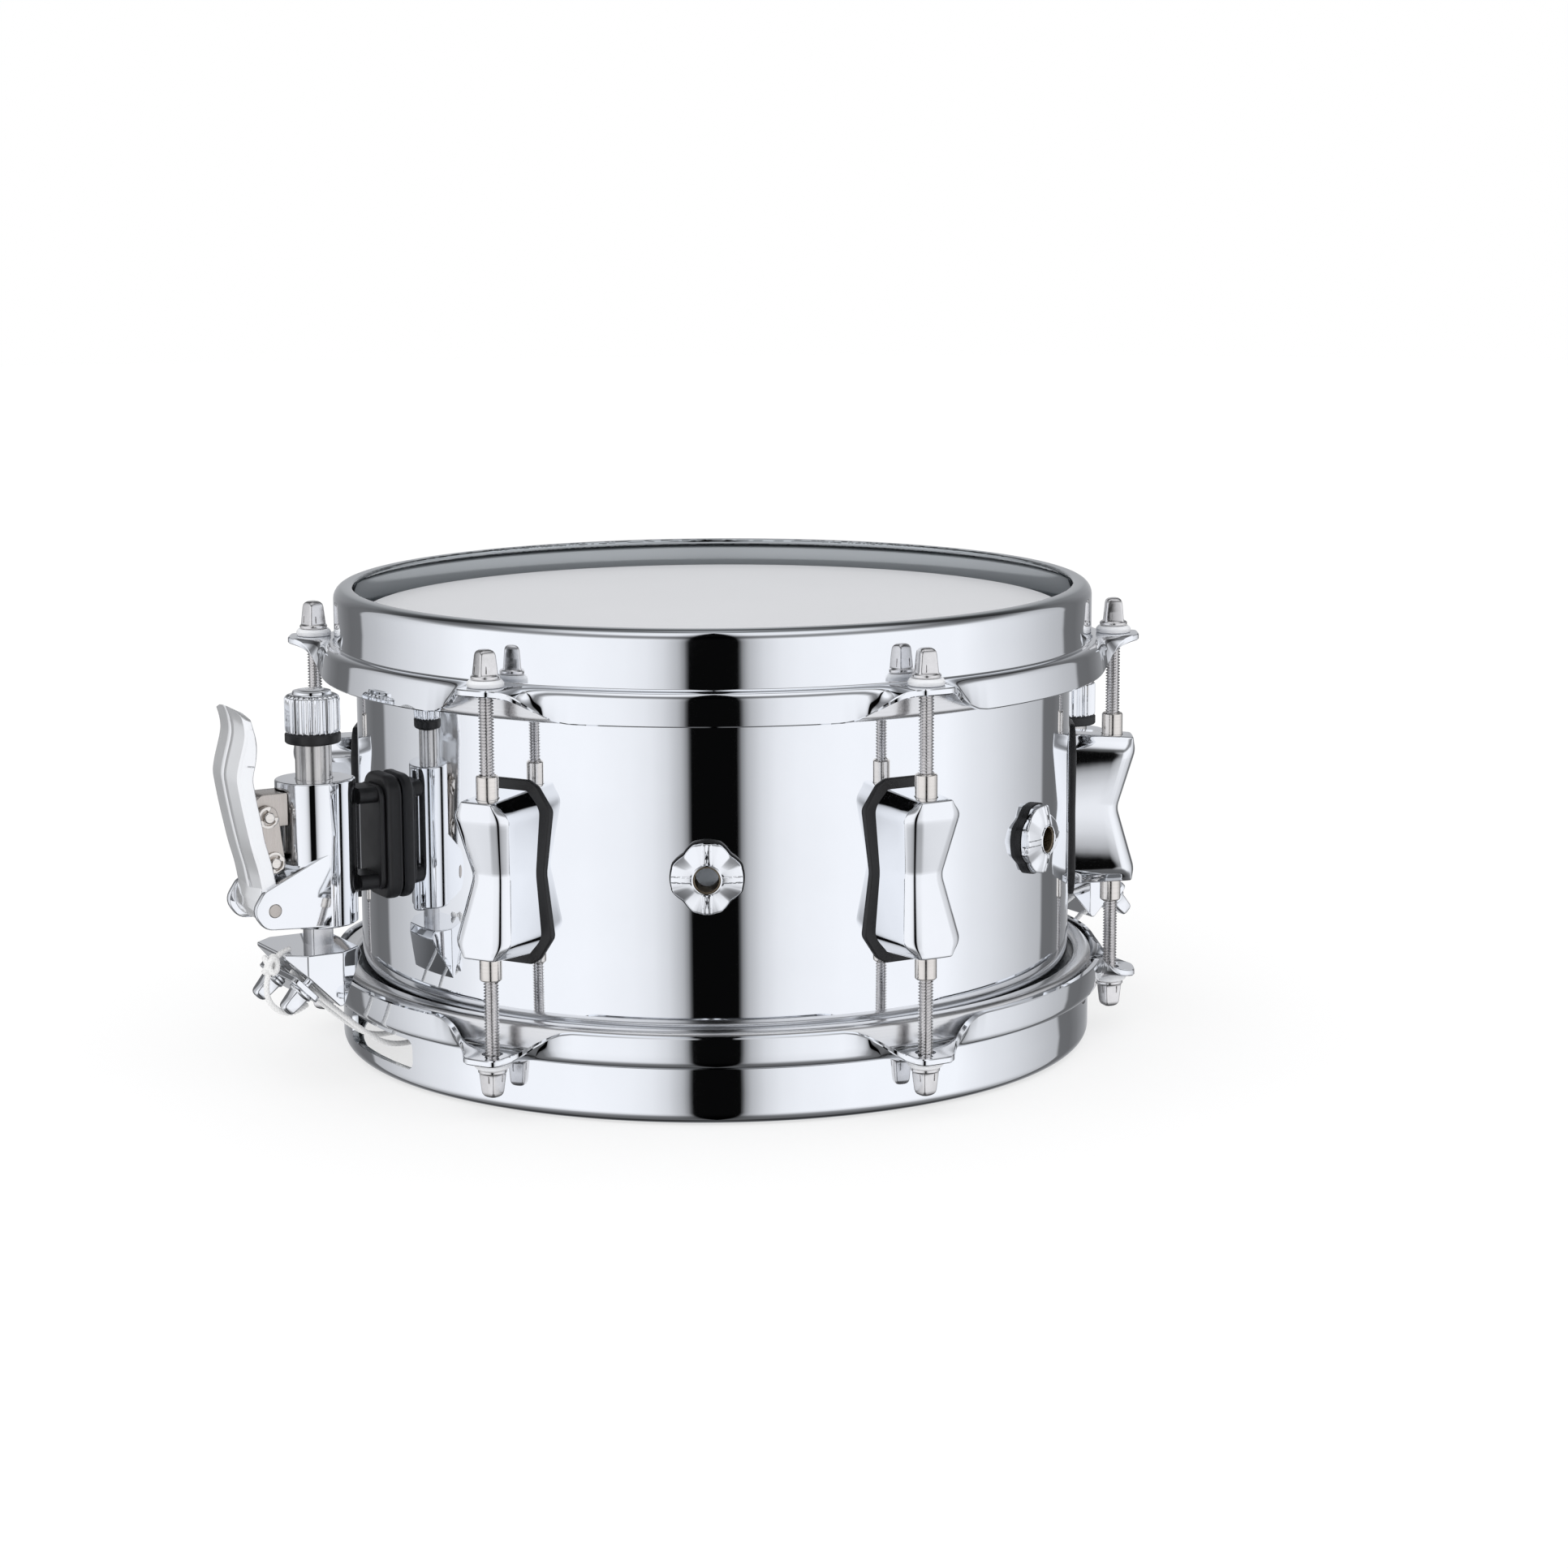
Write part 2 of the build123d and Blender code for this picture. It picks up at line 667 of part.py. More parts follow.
# the clamp is drawn for the strainer at its own height and shifted by dz
def clamp_xz(sx, pts, dz):
    return [(sx * abs(x), z + dz) for x, z in pts]


def make_block(sx, dz):
    with BuildPart() as block:
        with BuildSketch(xz_plane(18.0)):
            with BuildLine():
                Polyline(
                    *clamp_xz(
                        sx,
                        [(-176.5, 50.4), (-148.2, 50.4), (-146.6, 47.4), (-157.2, 31.2), (-158.6, 31.2), (-176.5, 49.1)],
                        dz,
                    ),
                    close=True,
                )
            make_face()
        extrude(amount=36.0)
        # the plan is a stretched hexagon
        with BuildSketch(Plane.XY.offset(20 + dz)):
            Rectangle(500, 100)
            with BuildLine():
                Polyline(
                    (sx * 177, -12.5), (sx * 170, -18.1), (sx * 157, -18.1), (sx * 146, -9.5),
                    (sx * 146, 9.5), (sx * 157, 18.1), (sx * 170, 18.1), (sx * 177, 12.5), close=True,
                )
            make_face(mode=Mode.SUBTRACT)
        extrude(amount=40, mode=Mode.SUBTRACT)
        # socket for the bar
        with BuildSketch(Plane.XY.offset(43.9 + dz)):
            with Locations((sx * AX_R, 0)):
                RectangleRounded(8.4, 9.2, 0.9)
        extrude(amount=10, mode=Mode.SUBTRACT)
        # tapped holes for the clamp screws
        for y0 in (-12.6, 12.6):
            with BuildSketch(tilt_plane(sx, dz, y0)):
                Circle(1.6)
            extrude(amount=-12, mode=Mode.SUBTRACT)
    return block


FACE_SUM = -127.4   # x + z on the block's tilted face


def tilt_plane(sx, dz, y0, out=0.0, along=0.0):
    """Plane on the clamp's tilted face, normal outwards and down."""
    k = math.sqrt(0.5)
    xm, zm = -167.6, FACE_SUM + 167.6
    x = xm - out * k + along * k
    z = zm - out * k - along * k + dz
    return Plane(origin=(sx * abs(x), y0, z), x_dir=(0, 1, 0), z_dir=(sx * k, 0, -k))


CLAMP_GAP = 2.2


def make_plate(sx, dz):
    with BuildPart() as plate:
        with BuildSketch(tilt_plane(sx, dz, 0, out=CLAMP_GAP)):
            RectangleRounded(33.0, 12.4, 2.0)
            with Locations((-12.6, 0), (12.6, 0)):
                Circle(1.7, mode=Mode.SUBTRACT)
        extrude(amount=2.2)
    return plate


def make_key_screws(sx, dz):
    with BuildPart() as screws:
        for y0 in (-12.6, 12.6):
            with BuildSketch(tilt_plane(sx, dz, y0, out=-8.0)):
                Circle(1.5)
            extrude(amount=8.0 + CLAMP_GAP + 2.3)
            with BuildSketch(tilt_plane(sx, dz, y0, out=CLAMP_GAP + 2.25)):
                Circle(4.5)
            extrude(amount=1.4)
            with BuildSketch(tilt_plane(sx, dz, y0, out=CLAMP_GAP + 3.65)):
                RectangleRounded(6.0, 6.0, 0.9)
            with BuildSketch(tilt_plane(sx, dz, y0, out=CLAMP_GAP + 3.65 + 7.6)):
                RectangleRounded(4.9, 4.9, 0.9)
            loft()
    return screws


# strainer
ST_ZC, ST_H = 86.5, 44.0
strainer_gasket = make_gasket(-1, ST_ZC, ST_H)
strainer_base = make_base(-1, ST_ZC, ST_H)
strainer_mount_screws = make_mount_screws(-1, ST_ZC)
strainer_housing = make_housing(-1, 58.0, 109.0, True)
strainer_cylinder = make_cylinder(-1, 70.0, 121.4, True)
strainer_knob = make_knob(-1, 125.2, 140.2)
strainer_knob_ring = make_ring(-1, 121.6, 125.15)
strainer_bar = make_bar(-1, 44.0, 65.5, 112.0)
strainer_clamp_block = make_block(-1, 0.0)
strainer_clamp_plate = make_plate(-1, 0.0)
strainer_clamp_screws = make_key_screws(-1, 0.0)

with BuildPart() as lever_pin:
    with BuildSketch(xz_plane(14.0)):
        with Locations(PIVOT):
            Circle(2.5)
    extrude(amount=28.0)

# throw lever: S-shaped handle, a neck between the cheeks and a hub on the pin
with BuildPart() as throw_lever:
    with BuildSketch(xz_plane(12.0)) as lv:
        with BuildLine():
            s1 = Spline((-183.6, 74.6), (-187.2, 88.0), (-190.4, 103.0), (-191.9, 113.4), (-190.0, 122.0), (-188.6, 129.0), (-190.6, 137.2))
            l1 = Line(s1 @ 1, (-186.4, 135.0))
            s2 = Spline(l1 @ 1, (-185.2, 128.0), (-186.4, 121.0), (-188.2, 113.0), (-187.0, 104.0), (-184.3, 90.0), (-180.8, 75.4))
            Line(s2 @ 1, s1 @ 0)
        make_face()
    extrude(amount=24.0)
    with BuildSketch(xz_plane(10.8)):
        with BuildLine():
            Polyline((-184.9, 79.0), (-185.6, 68.0), (-184.0, 62.8), (-179.8, 61.1), (-176.0, 62.6), (-174.4, 66.6), (-176.2, 70.8), (-179.6, 73.0), (-181.6, 79.0), close=True)
        make_face()
    extrude(amount=21.6)
    # room for the link's lower end on both sides of the neck
    for y0 in (10.0, -5.7):
        with BuildSketch(xz_plane(y0)):
            with BuildLine():
                Polyline((-182.7, 75.4), (-170, 75.4), (-170, 86), (-183.2, 86), close=True)
            make_face()
        extrude(amount=4.3, mode=Mode.SUBTRACT)
    with BuildSketch(xz_plane(20)):
        with Locations(PIVOT):
            Circle(2.56)
    extrude(amount=40, mode=Mode.SUBTRACT)

# link between the carriage's arm and the lever
with BuildPart() as link_plates:
    for y0 in (7.9, -6.1):
        with BuildSketch(xz_plane(y0)):
            with BuildLine():
                Polyline(
                    (-182.6, 95.6), (-183.2, 98.3), (-182.2, 101.2), (-179.2, 102.4), (-176.2, 101.2), (-175.2, 98.3),
                    (-173.4, 84.0), (-173.7, 80.6), (-176.0, 78.5), (-178.6, 78.6), (-180.4, 80.2), (-181.0, 83.0), close=True,
                )
            make_face()
            with Locations(LINK_A, LINK_B):
                Circle(2.02, mode=Mode.SUBTRACT)
        extrude(amount=1.8)

with BuildPart() as link_pins:
    for p in (LINK_A, LINK_B):
        with BuildSketch(xz_plane(9.9)):
            with Locations(p):
                Circle(2.0)
        extrude(amount=19.8)

with BuildPart() as e_clips:
    for p in (LINK_A, LINK_B):
        for y0 in (8.8, -7.95):
            with BuildSketch(xz_plane(y0)):
                with Locations(p):
                    Circle(3.9)
                    Circle(2.02, mode=Mode.SUBTRACT)
                    with Locations((3.2, 0)):
                        Rectangle(3.4, 2.4, mode=Mode.SUBTRACT)
            extrude(amount=0.85)

# butt end
BU_ZC, BU_H = 79.5, 38.0
BU_DZ = -4.0
butt_gasket = make_gasket(1, BU_ZC, BU_H)
butt_base = make_base(1, BU_ZC, BU_H)
butt_mount_screws = make_mount_screws(1, BU_ZC)
butt_housing = make_housing(1, 60.0, 98.6, False)
butt_cylinder = make_cylinder(1, 66.0, 101.0, False)
butt_knob = make_knob(1, 104.7, 119.7)
butt_knob_ring = make_ring(1, 101.2, 104.65)
butt_bar = make_bar(1, 40.0, 61.5, 84.0)
butt_clamp_block = make_block(1, BU_DZ)
butt_clamp_plate = make_plate(1, BU_DZ)
butt_clamp_screws = make_key_screws(1, BU_DZ)

# ---------------------------------------------------------------------------
# 8. Snares: coiled wires, end plates and the cords that pull them
# ---------------------------------------------------------------------------
N_WIRE = 16
WIRE_PITCH = 2.4
WIRE_R = 0.95
WIRE_Z = SHELL_Z0 - 0.03 - FILM_T - 0.1 - WIRE_R
PLATE_X = 88.0
with BuildPart() as snare_wires:
    with BuildSketch(yz_plane(-PLATE_X)):
        with Locations(*[((i - (N_WIRE - 1) / 2) * WIRE_PITCH, WIRE_Z) for i in range(N_WIRE)]):
            Circle(WIRE_R)
    extrude(amount=2 * PLATE_X)

with BuildPart() as snare_end_plates:
    for sx in (-1, 1):
        with BuildSketch(yz_plane(sx * (PLATE_X + 0.02))):
            with Locations((0, WIRE_Z - 0.3)):
                RectangleRounded(43.0, 2.2, 0.6)
        extrude(amount=sx * 12.0)


def cord_route(sx, dz):
    """Clamp gap, down past the hoop's skirt, through the gate, in to the end plate."""
    s = FACE_SUM - CLAMP_GAP / 2 * math.sqrt(2)
    return [
        (sx * 172.6, s + 172.6 + dz),
        (sx * 156.2, s + 156.2 + dz),
        (sx * 134.2, 11.6),
        (sx * 112.0, 14.2),
        (sx * 100.3, WIRE_Z - 0.3),
    ]


def make_cord(sx, dz):
    pts = cord_route(sx, dz)
    radii, turns = [], []
    for i in range(1, len(pts) - 1):
        a = Vector(pts[i][0] - pts[i - 1][0], 0, pts[i][1] - pts[i - 1][1])
        b = Vector(pts[i + 1][0] - pts[i][0], 0, pts[i + 1][1] - pts[i][1])
        ang = a.get_angle(b)
        turns.append(round(ang, 1))
        cap = 14.0 if i == 1 else 60.0
        radii.append(min(0.45 * min(a.length, b.length) / math.tan(math.radians(ang / 2)), cap))
    print("cord turns", turns, "radii", [round(r, 1) for r in radii])
    with BuildPart() as cord:
        for y0 in (-CORD_Y, CORD_Y):
            with BuildLine(xz_plane(y0)) as path:
                FilletPolyline(*pts, radius=radii)
            d = Vector(pts[1][0] - pts[0][0], 0, pts[1][1] - pts[0][1]).normalized()
            with BuildSketch(Plane(origin=(pts[0][0], y0, pts[0][1]), z_dir=(d.X, d.Y, d.Z))):
                Circle(CORD_R)
            sweep(path=path.wire())
            print("cord length %.1f mm, volume/section %.1f mm" % (path.wire().length, cord.part.volume / (math.pi * CORD_R**2)))
    return cord


snare_cord_strainer = make_cord(-1, 0.0)
snare_cord_butt = make_cord(1, BU_DZ)

# loose tail of the strainer's cord, tied in a knot in front of the clamp
LOOP = [
    (-171.5, -7.2, 52.2), (-179.4, -6.6, 52.6), (-185.2, -5.6, 45.4), (-188.4, -4.2, 35.0),
    (-184.6, -2.0, 26.0), (-175.4, -3.0, 23.6), (-166.8, -5.4, 26.6),
]
with BuildPart() as cord_loop:
    lr = []
    for i in range(1, len(LOOP) - 1):
        a = Vector(*LOOP[i]) - Vector(*LOOP[i - 1])
        b = Vector(*LOOP[i + 1]) - Vector(*LOOP[i])
        ang = a.get_angle(b)
        lr.append(0.45 * min(a.length, b.length) / math.tan(math.radians(ang / 2)))
    print("loop radii", [round(r, 1) for r in lr])
    with BuildLine() as lpath:
        FilletPolyline(*LOOP, radius=lr)
    d0 = (Vector(*LOOP[1]) - Vector(*LOOP[0])).normalized()
    with BuildSketch(Plane(origin=LOOP[0], z_dir=(d0.X, d0.Y, d0.Z))):
        Circle(CORD_R)
    sweep(path=lpath.wire())
    with Locations((-185.0, -5.5, 45.6)):
        Sphere(3.4)

# ---------------------------------------------------------------------------
# Write every piece
# ---------------------------------------------------------------------------
save(shell.part, "shell")
save(batter_hoop.part, "batter_hoop")
save(snare_side_hoop_cut.part, "snare_side_hoop")
save(batter_head_film.part, "batter_head_film")
save(snare_side_head_film.part, "snare_side_head_film")
save(batter_flesh_hoop.part, "batter_flesh_hoop")
save(snare_side_flesh_hoop.part, "snare_side_flesh_hoop")
save(lug_bodies.part, "lug_bodies")
save(lug_gaskets.part, "lug_gaskets")
save(swivel_nuts.part, "swivel_nuts")
save(lug_screws.part, "lug_screws")
save(vent_rosettes.part, "vent_rosettes")
save(vent_gaskets.part, "vent_gaskets")
save(vent_sleeves.part, "vent_sleeves")
for name, rod in rods.items():
    save(rod.part, name)
save(rod_washers.part, "rod_washers")
save(strainer_gasket.part, "strainer_gasket")
save(strainer_base.part, "strainer_base")
save(strainer_mount_screws.part, "strainer_mount_screws")
save(strainer_housing.part, "strainer_housing")
save(strainer_cylinder.part, "strainer_cylinder")
save(strainer_knob.part, "strainer_knob")
save(strainer_knob_ring.part, "strainer_knob_ring")
save(strainer_bar.part, "strainer_bar")
save(strainer_clamp_block.part, "strainer_clamp_block")
save(strainer_clamp_plate.part, "strainer_clamp_plate")
save(strainer_clamp_screws.part, "strainer_clamp_screws")
save(lever_pin.part, "lever_pin")
save(throw_lever.part, "throw_lever")
save(link_plates.part, "link_plates")
save(link_pins.part, "link_pins")
save(e_clips.part, "e_clips")
save(butt_gasket.part, "butt_gasket")
save(butt_base.part, "butt_base")
save(butt_mount_screws.part, "butt_mount_screws")
save(butt_housing.part, "butt_housing")
save(butt_cylinder.part, "butt_cylinder")
save(butt_knob.part, "butt_knob")
save(butt_knob_ring.part, "butt_knob_ring")
save(butt_bar.part, "butt_bar")
save(butt_clamp_block.part, "butt_clamp_block")
save(butt_clamp_plate.part, "butt_clamp_plate")
save(butt_clamp_screws.part, "butt_clamp_screws")
save(snare_wires.part, "snare_wires")
save(snare_end_plates.part, "snare_end_plates")
save(snare_cord_strainer.part, "snare_cord_strainer")
save(snare_cord_butt.part, "snare_cord_butt")
save(cord_loop.part, "cord_loop")
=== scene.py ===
import math

import bmesh
import bpy
import numpy as np
from mathutils import Matrix, Vector


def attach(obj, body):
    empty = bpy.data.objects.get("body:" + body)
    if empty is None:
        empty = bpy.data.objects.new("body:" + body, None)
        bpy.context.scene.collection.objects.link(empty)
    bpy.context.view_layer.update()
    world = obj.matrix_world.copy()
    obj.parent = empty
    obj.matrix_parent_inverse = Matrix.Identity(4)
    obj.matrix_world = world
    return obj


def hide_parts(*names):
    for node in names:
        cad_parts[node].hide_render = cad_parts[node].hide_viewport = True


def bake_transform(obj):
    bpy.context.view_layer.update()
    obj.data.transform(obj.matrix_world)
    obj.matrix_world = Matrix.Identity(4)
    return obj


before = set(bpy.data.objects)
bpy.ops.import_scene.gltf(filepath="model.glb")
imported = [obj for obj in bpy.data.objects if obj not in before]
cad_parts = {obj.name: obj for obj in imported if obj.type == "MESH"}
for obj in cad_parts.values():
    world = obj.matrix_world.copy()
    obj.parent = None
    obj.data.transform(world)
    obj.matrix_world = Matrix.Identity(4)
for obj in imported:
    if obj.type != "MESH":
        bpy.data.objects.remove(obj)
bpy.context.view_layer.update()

MM = 0.001
TAU = 2 * math.pi
scene = bpy.context.scene

# ---------------------------------------------------------------------------
# Camera, at the photograph's viewing angle
# ---------------------------------------------------------------------------
cam_data = bpy.data.cameras.new("camera")
cam_data.lens = 83.53
cam_data.sensor_width = 36.0
cam_data.clip_start = 0.05
cam_data.clip_end = 50.0
camera = bpy.data.objects.new("camera", cam_data)
scene.collection.objects.link(camera)
cam_r = Vector((0.86632012, -0.49947126, -0.00423121))
cam_u = Vector((0.0925864, 0.15225295, 0.98399532))
cam_f = Vector((0.49083318, 0.8528467, -0.17814404))
cam_c = Vector((-0.6371335, -1.1584145, 0.3310962))
m = Matrix.Identity(4)
for i in range(3):
    m[i][0], m[i][1], m[i][2], m[i][3] = cam_r[i], cam_u[i], -cam_f[i], cam_c[i]
camera.matrix_world = m
scene.camera = camera


# ---------------------------------------------------------------------------
# Materials
# ---------------------------------------------------------------------------
def srgb(v):
    v = v / 255.0
    return v / 12.92 if v <= 0.04045 else ((v + 0.055) / 1.055) ** 2.4


class Mat:
    """A small helper round one node material."""

    def __init__(self, name):
        self.mat = bpy.data.materials.new(name)
        self.mat.use_nodes = True
        self.nt = self.mat.node_tree
        self.nt.nodes.clear()
        self.out = self.nt.nodes.new("ShaderNodeOutputMaterial")
        self.b = self.nt.nodes.new("ShaderNodeBsdfPrincipled")
        self.nt.links.new(self.b.outputs[0], self.out.inputs[0])
        self.tc = self.nt.nodes.new("ShaderNodeTexCoord")

    def node(self, kind, **kw):
        n = self.nt.nodes.new(kind)
        for k, v in kw.items():
            if k in n.inputs:
                n.inputs[k].default_value = v
            else:
                setattr(n, k, v)
        return n

    def link(self, a, b):
        self.nt.links.new(a, b)

    def mapped(self, scale, source="Object", rotation=(0, 0, 0)):
        mp = self.node("ShaderNodeMapping")
        mp.inputs["Scale"].default_value = scale
        mp.inputs["Rotation"].default_value = rotation
        self.link(self.tc.outputs[source], mp.inputs["Vector"])
        return mp.outputs["Vector"]

    def noise(self, scale, detail=3.0, rough=0.55, vec=None):
        n = self.node("ShaderNodeTexNoise")
        n.inputs["Scale"].default_value = scale
        n.inputs["Detail"].default_value = detail
        n.inputs["Roughness"].default_value = rough
        self.link(vec if vec is not None else self.tc.outputs["Object"], n.inputs["Vector"])
        return n.outputs["Fac"]

    def ramp(self, fac, stops, interp="LINEAR"):
        r = self.node("ShaderNodeValToRGB")
        r.color_ramp.interpolation = interp
        els = r.color_ramp.elements
        while len(els) < len(stops):
            els.new(0.5)
        for e, (p, c) in zip(els, stops):
            e.position = p
            e.color = (c[0], c[1], c[2], 1.0) if hasattr(c, "__len__") else (c, c, c, 1.0)
        self.link(fac, r.inputs["Fac"])
        return r.outputs["Color"]

    def rng(self, fac, lo, hi, f0=0.0, f1=1.0):
        r = self.node("ShaderNodeMapRange")
        r.inputs["From Min"].default_value = f0
        r.inputs["From Max"].default_value = f1
        r.inputs["To Min"].default_value = lo
        r.inputs["To Max"].default_value = hi
        self.link(fac, r.inputs["Value"])
        return r.outputs["Result"]

    def math(self, op, a, b=None):
        n = self.node("ShaderNodeMath", operation=op)
        for i, v in enumerate((a, b)):
            if v is None:
                continue
            if isinstance(v, (int, float)):
                n.inputs[i].default_value = v
            else:
                self.link(v, n.inputs[i])
        return n.outputs[0]

    def bump(self, height, strength, distance):
        n = self.node("ShaderNodeBump")
        n.inputs["Strength"].default_value = strength
        n.inputs["Distance"].default_value = distance
        self.link(height, n.inputs["Height"])
        self.link(n.outputs["Normal"], self.b.inputs["Normal"])
        return n

    def radius(self):
        """Distance from the drum's axis, for marks that run round it."""
        sx = self.node("ShaderNodeSeparateXYZ")
        self.link(self.tc.outputs["Object"], sx.inputs[0])
        r2 = self.math("ADD", self.math("MULTIPLY", sx.outputs[0], sx.outputs[0]), self.math("MULTIPLY", sx.outputs[1], sx.outputs[1]))
        return self.math("SQRT", r2), sx.outputs[2]


def chrome(name, base, rough=(0.02, 0.05), wave=0.0, inner=None):
    mt = Mat(name)
    cloud = mt.noise(26.0, 4.0, 0.6)
    fine = mt.noise(900.0, 2.0, 0.5)
    c0 = tuple(x * 0.975 for x in base)
    col = mt.ramp(cloud, [(0.35, c0), (0.65, base)])
    if inner:
        # painted shade: the base colour is darker inside the rim (below about 136 mm from the axis), standing in for
        # the darker reflection on the rim's inner wall
        r, z = mt.radius()
        f = mt.rng(r, 0.0, 1.0, inner[0], inner[1])
        mix = mt.node("ShaderNodeMix", data_type="RGBA")
        mt.link(f, mix.inputs[0])
        mix.inputs[6].default_value = (*inner[2], 1)
        mt.link(col, mix.inputs[7])
        col = mix.outputs[2]
    mt.link(col, mt.b.inputs["Base Color"])
    mt.b.inputs["Metallic"].default_value = 1.0
    smudge = mt.math("MULTIPLY", mt.rng(cloud, rough[0], rough[1], 0.3, 0.7), mt.rng(fine, 0.85, 1.15, 0.3, 0.7))
    mt.link(smudge, mt.b.inputs["Roughness"])
    if wave:
        w = mt.noise(130.0, 1.0, 0.4)
        mt.bump(w, 0.5, wave)
    return mt.mat


def brushed(name, base, rough, mode, scale=2600.0, depth=0.00001, amount=0.10):
    """Turned or brushed metal: fine lines across the piece's axis."""
    mt = Mat(name)
    if mode == "round":      # circles about the drum's axis
        r, z = mt.radius()
        comb = mt.node("ShaderNodeCombineXYZ")
        mt.link(r, comb.inputs[0])
        mt.link(mt.math("MULTIPLY", z, 0.35), comb.inputs[2])
        line = mt.noise(scale, 3.0, 0.65, comb.outputs[0])
    elif mode == "z":        # rings round a vertical pin
        line = mt.noise(1.0, 3.0, 0.65, mt.mapped((30, 30, scale)))
    elif mode == "x":        # lines that run along Z
        line = mt.noise(1.0, 3.0, 0.65, mt.mapped((scale, scale, 30)))
    else:
        line = mt.noise(scale * 0.4, 4.0, 0.65)
    cloud = mt.noise(45.0, 3.0, 0.5)
    lo = tuple(x * (1 - amount) for x in base)
    hi = tuple(min(1.0, x * (1 + amount * 0.5)) for x in base)
    col = mt.ramp(mt.math("ADD", mt.math("MULTIPLY", line, 0.7), mt.math("MULTIPLY", cloud, 0.3)), [(0.35, lo), (0.65, hi)])
    mt.link(col, mt.b.inputs["Base Color"])
    mt.b.inputs["Metallic"].default_value = 1.0
    mt.link(mt.rng(line, rough[0], rough[1], 0.3, 0.7), mt.b.inputs["Roughness"])
    mt.bump(line, 0.35, depth)
    return mt.mat


def rubber(name):
    mt = Mat(name)
    grain = mt.noise(2400.0, 3.0, 0.6)
    cloud = mt.noise(70.0, 4.0, 0.6)
    col = mt.ramp(cloud, [(0.3, (0.007, 0.007, 0.008)), (0.7, (0.016, 0.016, 0.018))])
    mt.link(col, mt.b.inputs["Base Color"])
    mt.link(mt.rng(cloud, 0.36, 0.50, 0.3, 0.7), mt.b.inputs["Roughness"])
    mt.bump(grain, 0.35, 0.00003)
    return mt.mat


def plastic(name, base, rough, sub=0.0):
    mt = Mat(name)
    cloud = mt.noise(120.0, 3.0, 0.5)
    grain = mt.noise(1800.0, 2.0, 0.5)
    col = mt.ramp(cloud, [(0.3, tuple(x * 0.96 for x in base)), (0.7, base)])
    mt.link(col, mt.b.inputs["Base Color"])
    mt.link(mt.rng(grain, rough * 0.85, rough * 1.15, 0.3, 0.7), mt.b.inputs["Roughness"])
    if sub:
        mt.b.inputs["Subsurface Weight"].default_value = sub
        mt.b.inputs["Subsurface Radius"].default_value = (0.002, 0.002, 0.002)
    mt.bump(grain, 0.2, 0.00002)
    return mt.mat


def film_coated(name):
    mt = Mat(name)
    grain = mt.noise(3200.0, 4.0, 0.75)
    speck = mt.noise(900.0, 3.0, 0.6)
    cloud = mt.noise(14.0, 3.0, 0.5)
    col = mt.ramp(mt.math("ADD", mt.math("MULTIPLY", cloud, 0.6), mt.math("MULTIPLY", speck, 0.4)), [(0.32, (0.700, 0.707, 0.728)), (0.68, (0.722, 0.729, 0.750))])
    mt.link(col, mt.b.inputs["Base Color"])
    mt.link(mt.rng(speck, 0.50, 0.62, 0.3, 0.7), mt.b.inputs["Roughness"])
    mt.b.inputs["Specular IOR Level"].default_value = 0.35
    mt.bump(grain, 0.35, 0.00004)
    return mt.mat


def film_clear(name):
    mt = Mat(name)
    cloud = mt.noise(30.0, 4.0, 0.6)
    col = mt.ramp(cloud, [(0.3, (0.80, 0.82, 0.84)), (0.7, (0.86, 0.88, 0.90))])
    mt.link(col, mt.b.inputs["Base Color"])
    mt.link(mt.rng(cloud, 0.16, 0.24, 0.3, 0.7), mt.b.inputs["Roughness"])
    mt.b.inputs["Alpha"].default_value = 0.42
    return mt.mat


def braid(name, base):
    """White braid: two families of crossing yarns, drawn over the tube's own UVs."""
    mt = Mat(name)
    sep = mt.node("ShaderNodeSeparateXYZ")
    mt.link(mt.tc.outputs["UV"], sep.inputs[0])
    u, v = sep.outputs[0], sep.outputs[1]     # u millimetres along, v turns round
    a = mt.math("SINE", mt.math("ADD", mt.math("MULTIPLY", u, 4.4), mt.math("MULTIPLY", v, TAU * 4)))
    b = mt.math("SINE", mt.math("SUBTRACT", mt.math("MULTIPLY", u, 4.4), mt.math("MULTIPLY", v, TAU * 4)))
    h = mt.math("MAXIMUM", a, b)
    fibre = mt.noise(5200.0, 3.0, 0.7)
    hh = mt.math("ADD", h, mt.math("MULTIPLY", fibre, 0.5))
    # painted shade: the colour drops to 0.86 of the base in the grooves between the yarns; the fibre noise adds the
    # cord's own random tone
    col = mt.ramp(mt.rng(hh, 0.0, 1.0, -0.8, 1.4), [(0.15, tuple(x * 0.86 for x in base)), (0.6, base)])
    mt.link(col, mt.b.inputs["Base Color"])
    mt.b.inputs["Roughness"].default_value = 0.8
    mt.b.inputs["Sheen Weight"].default_value = 0.25
    mt.bump(hh, 0.35, 0.00008)
    return mt.mat


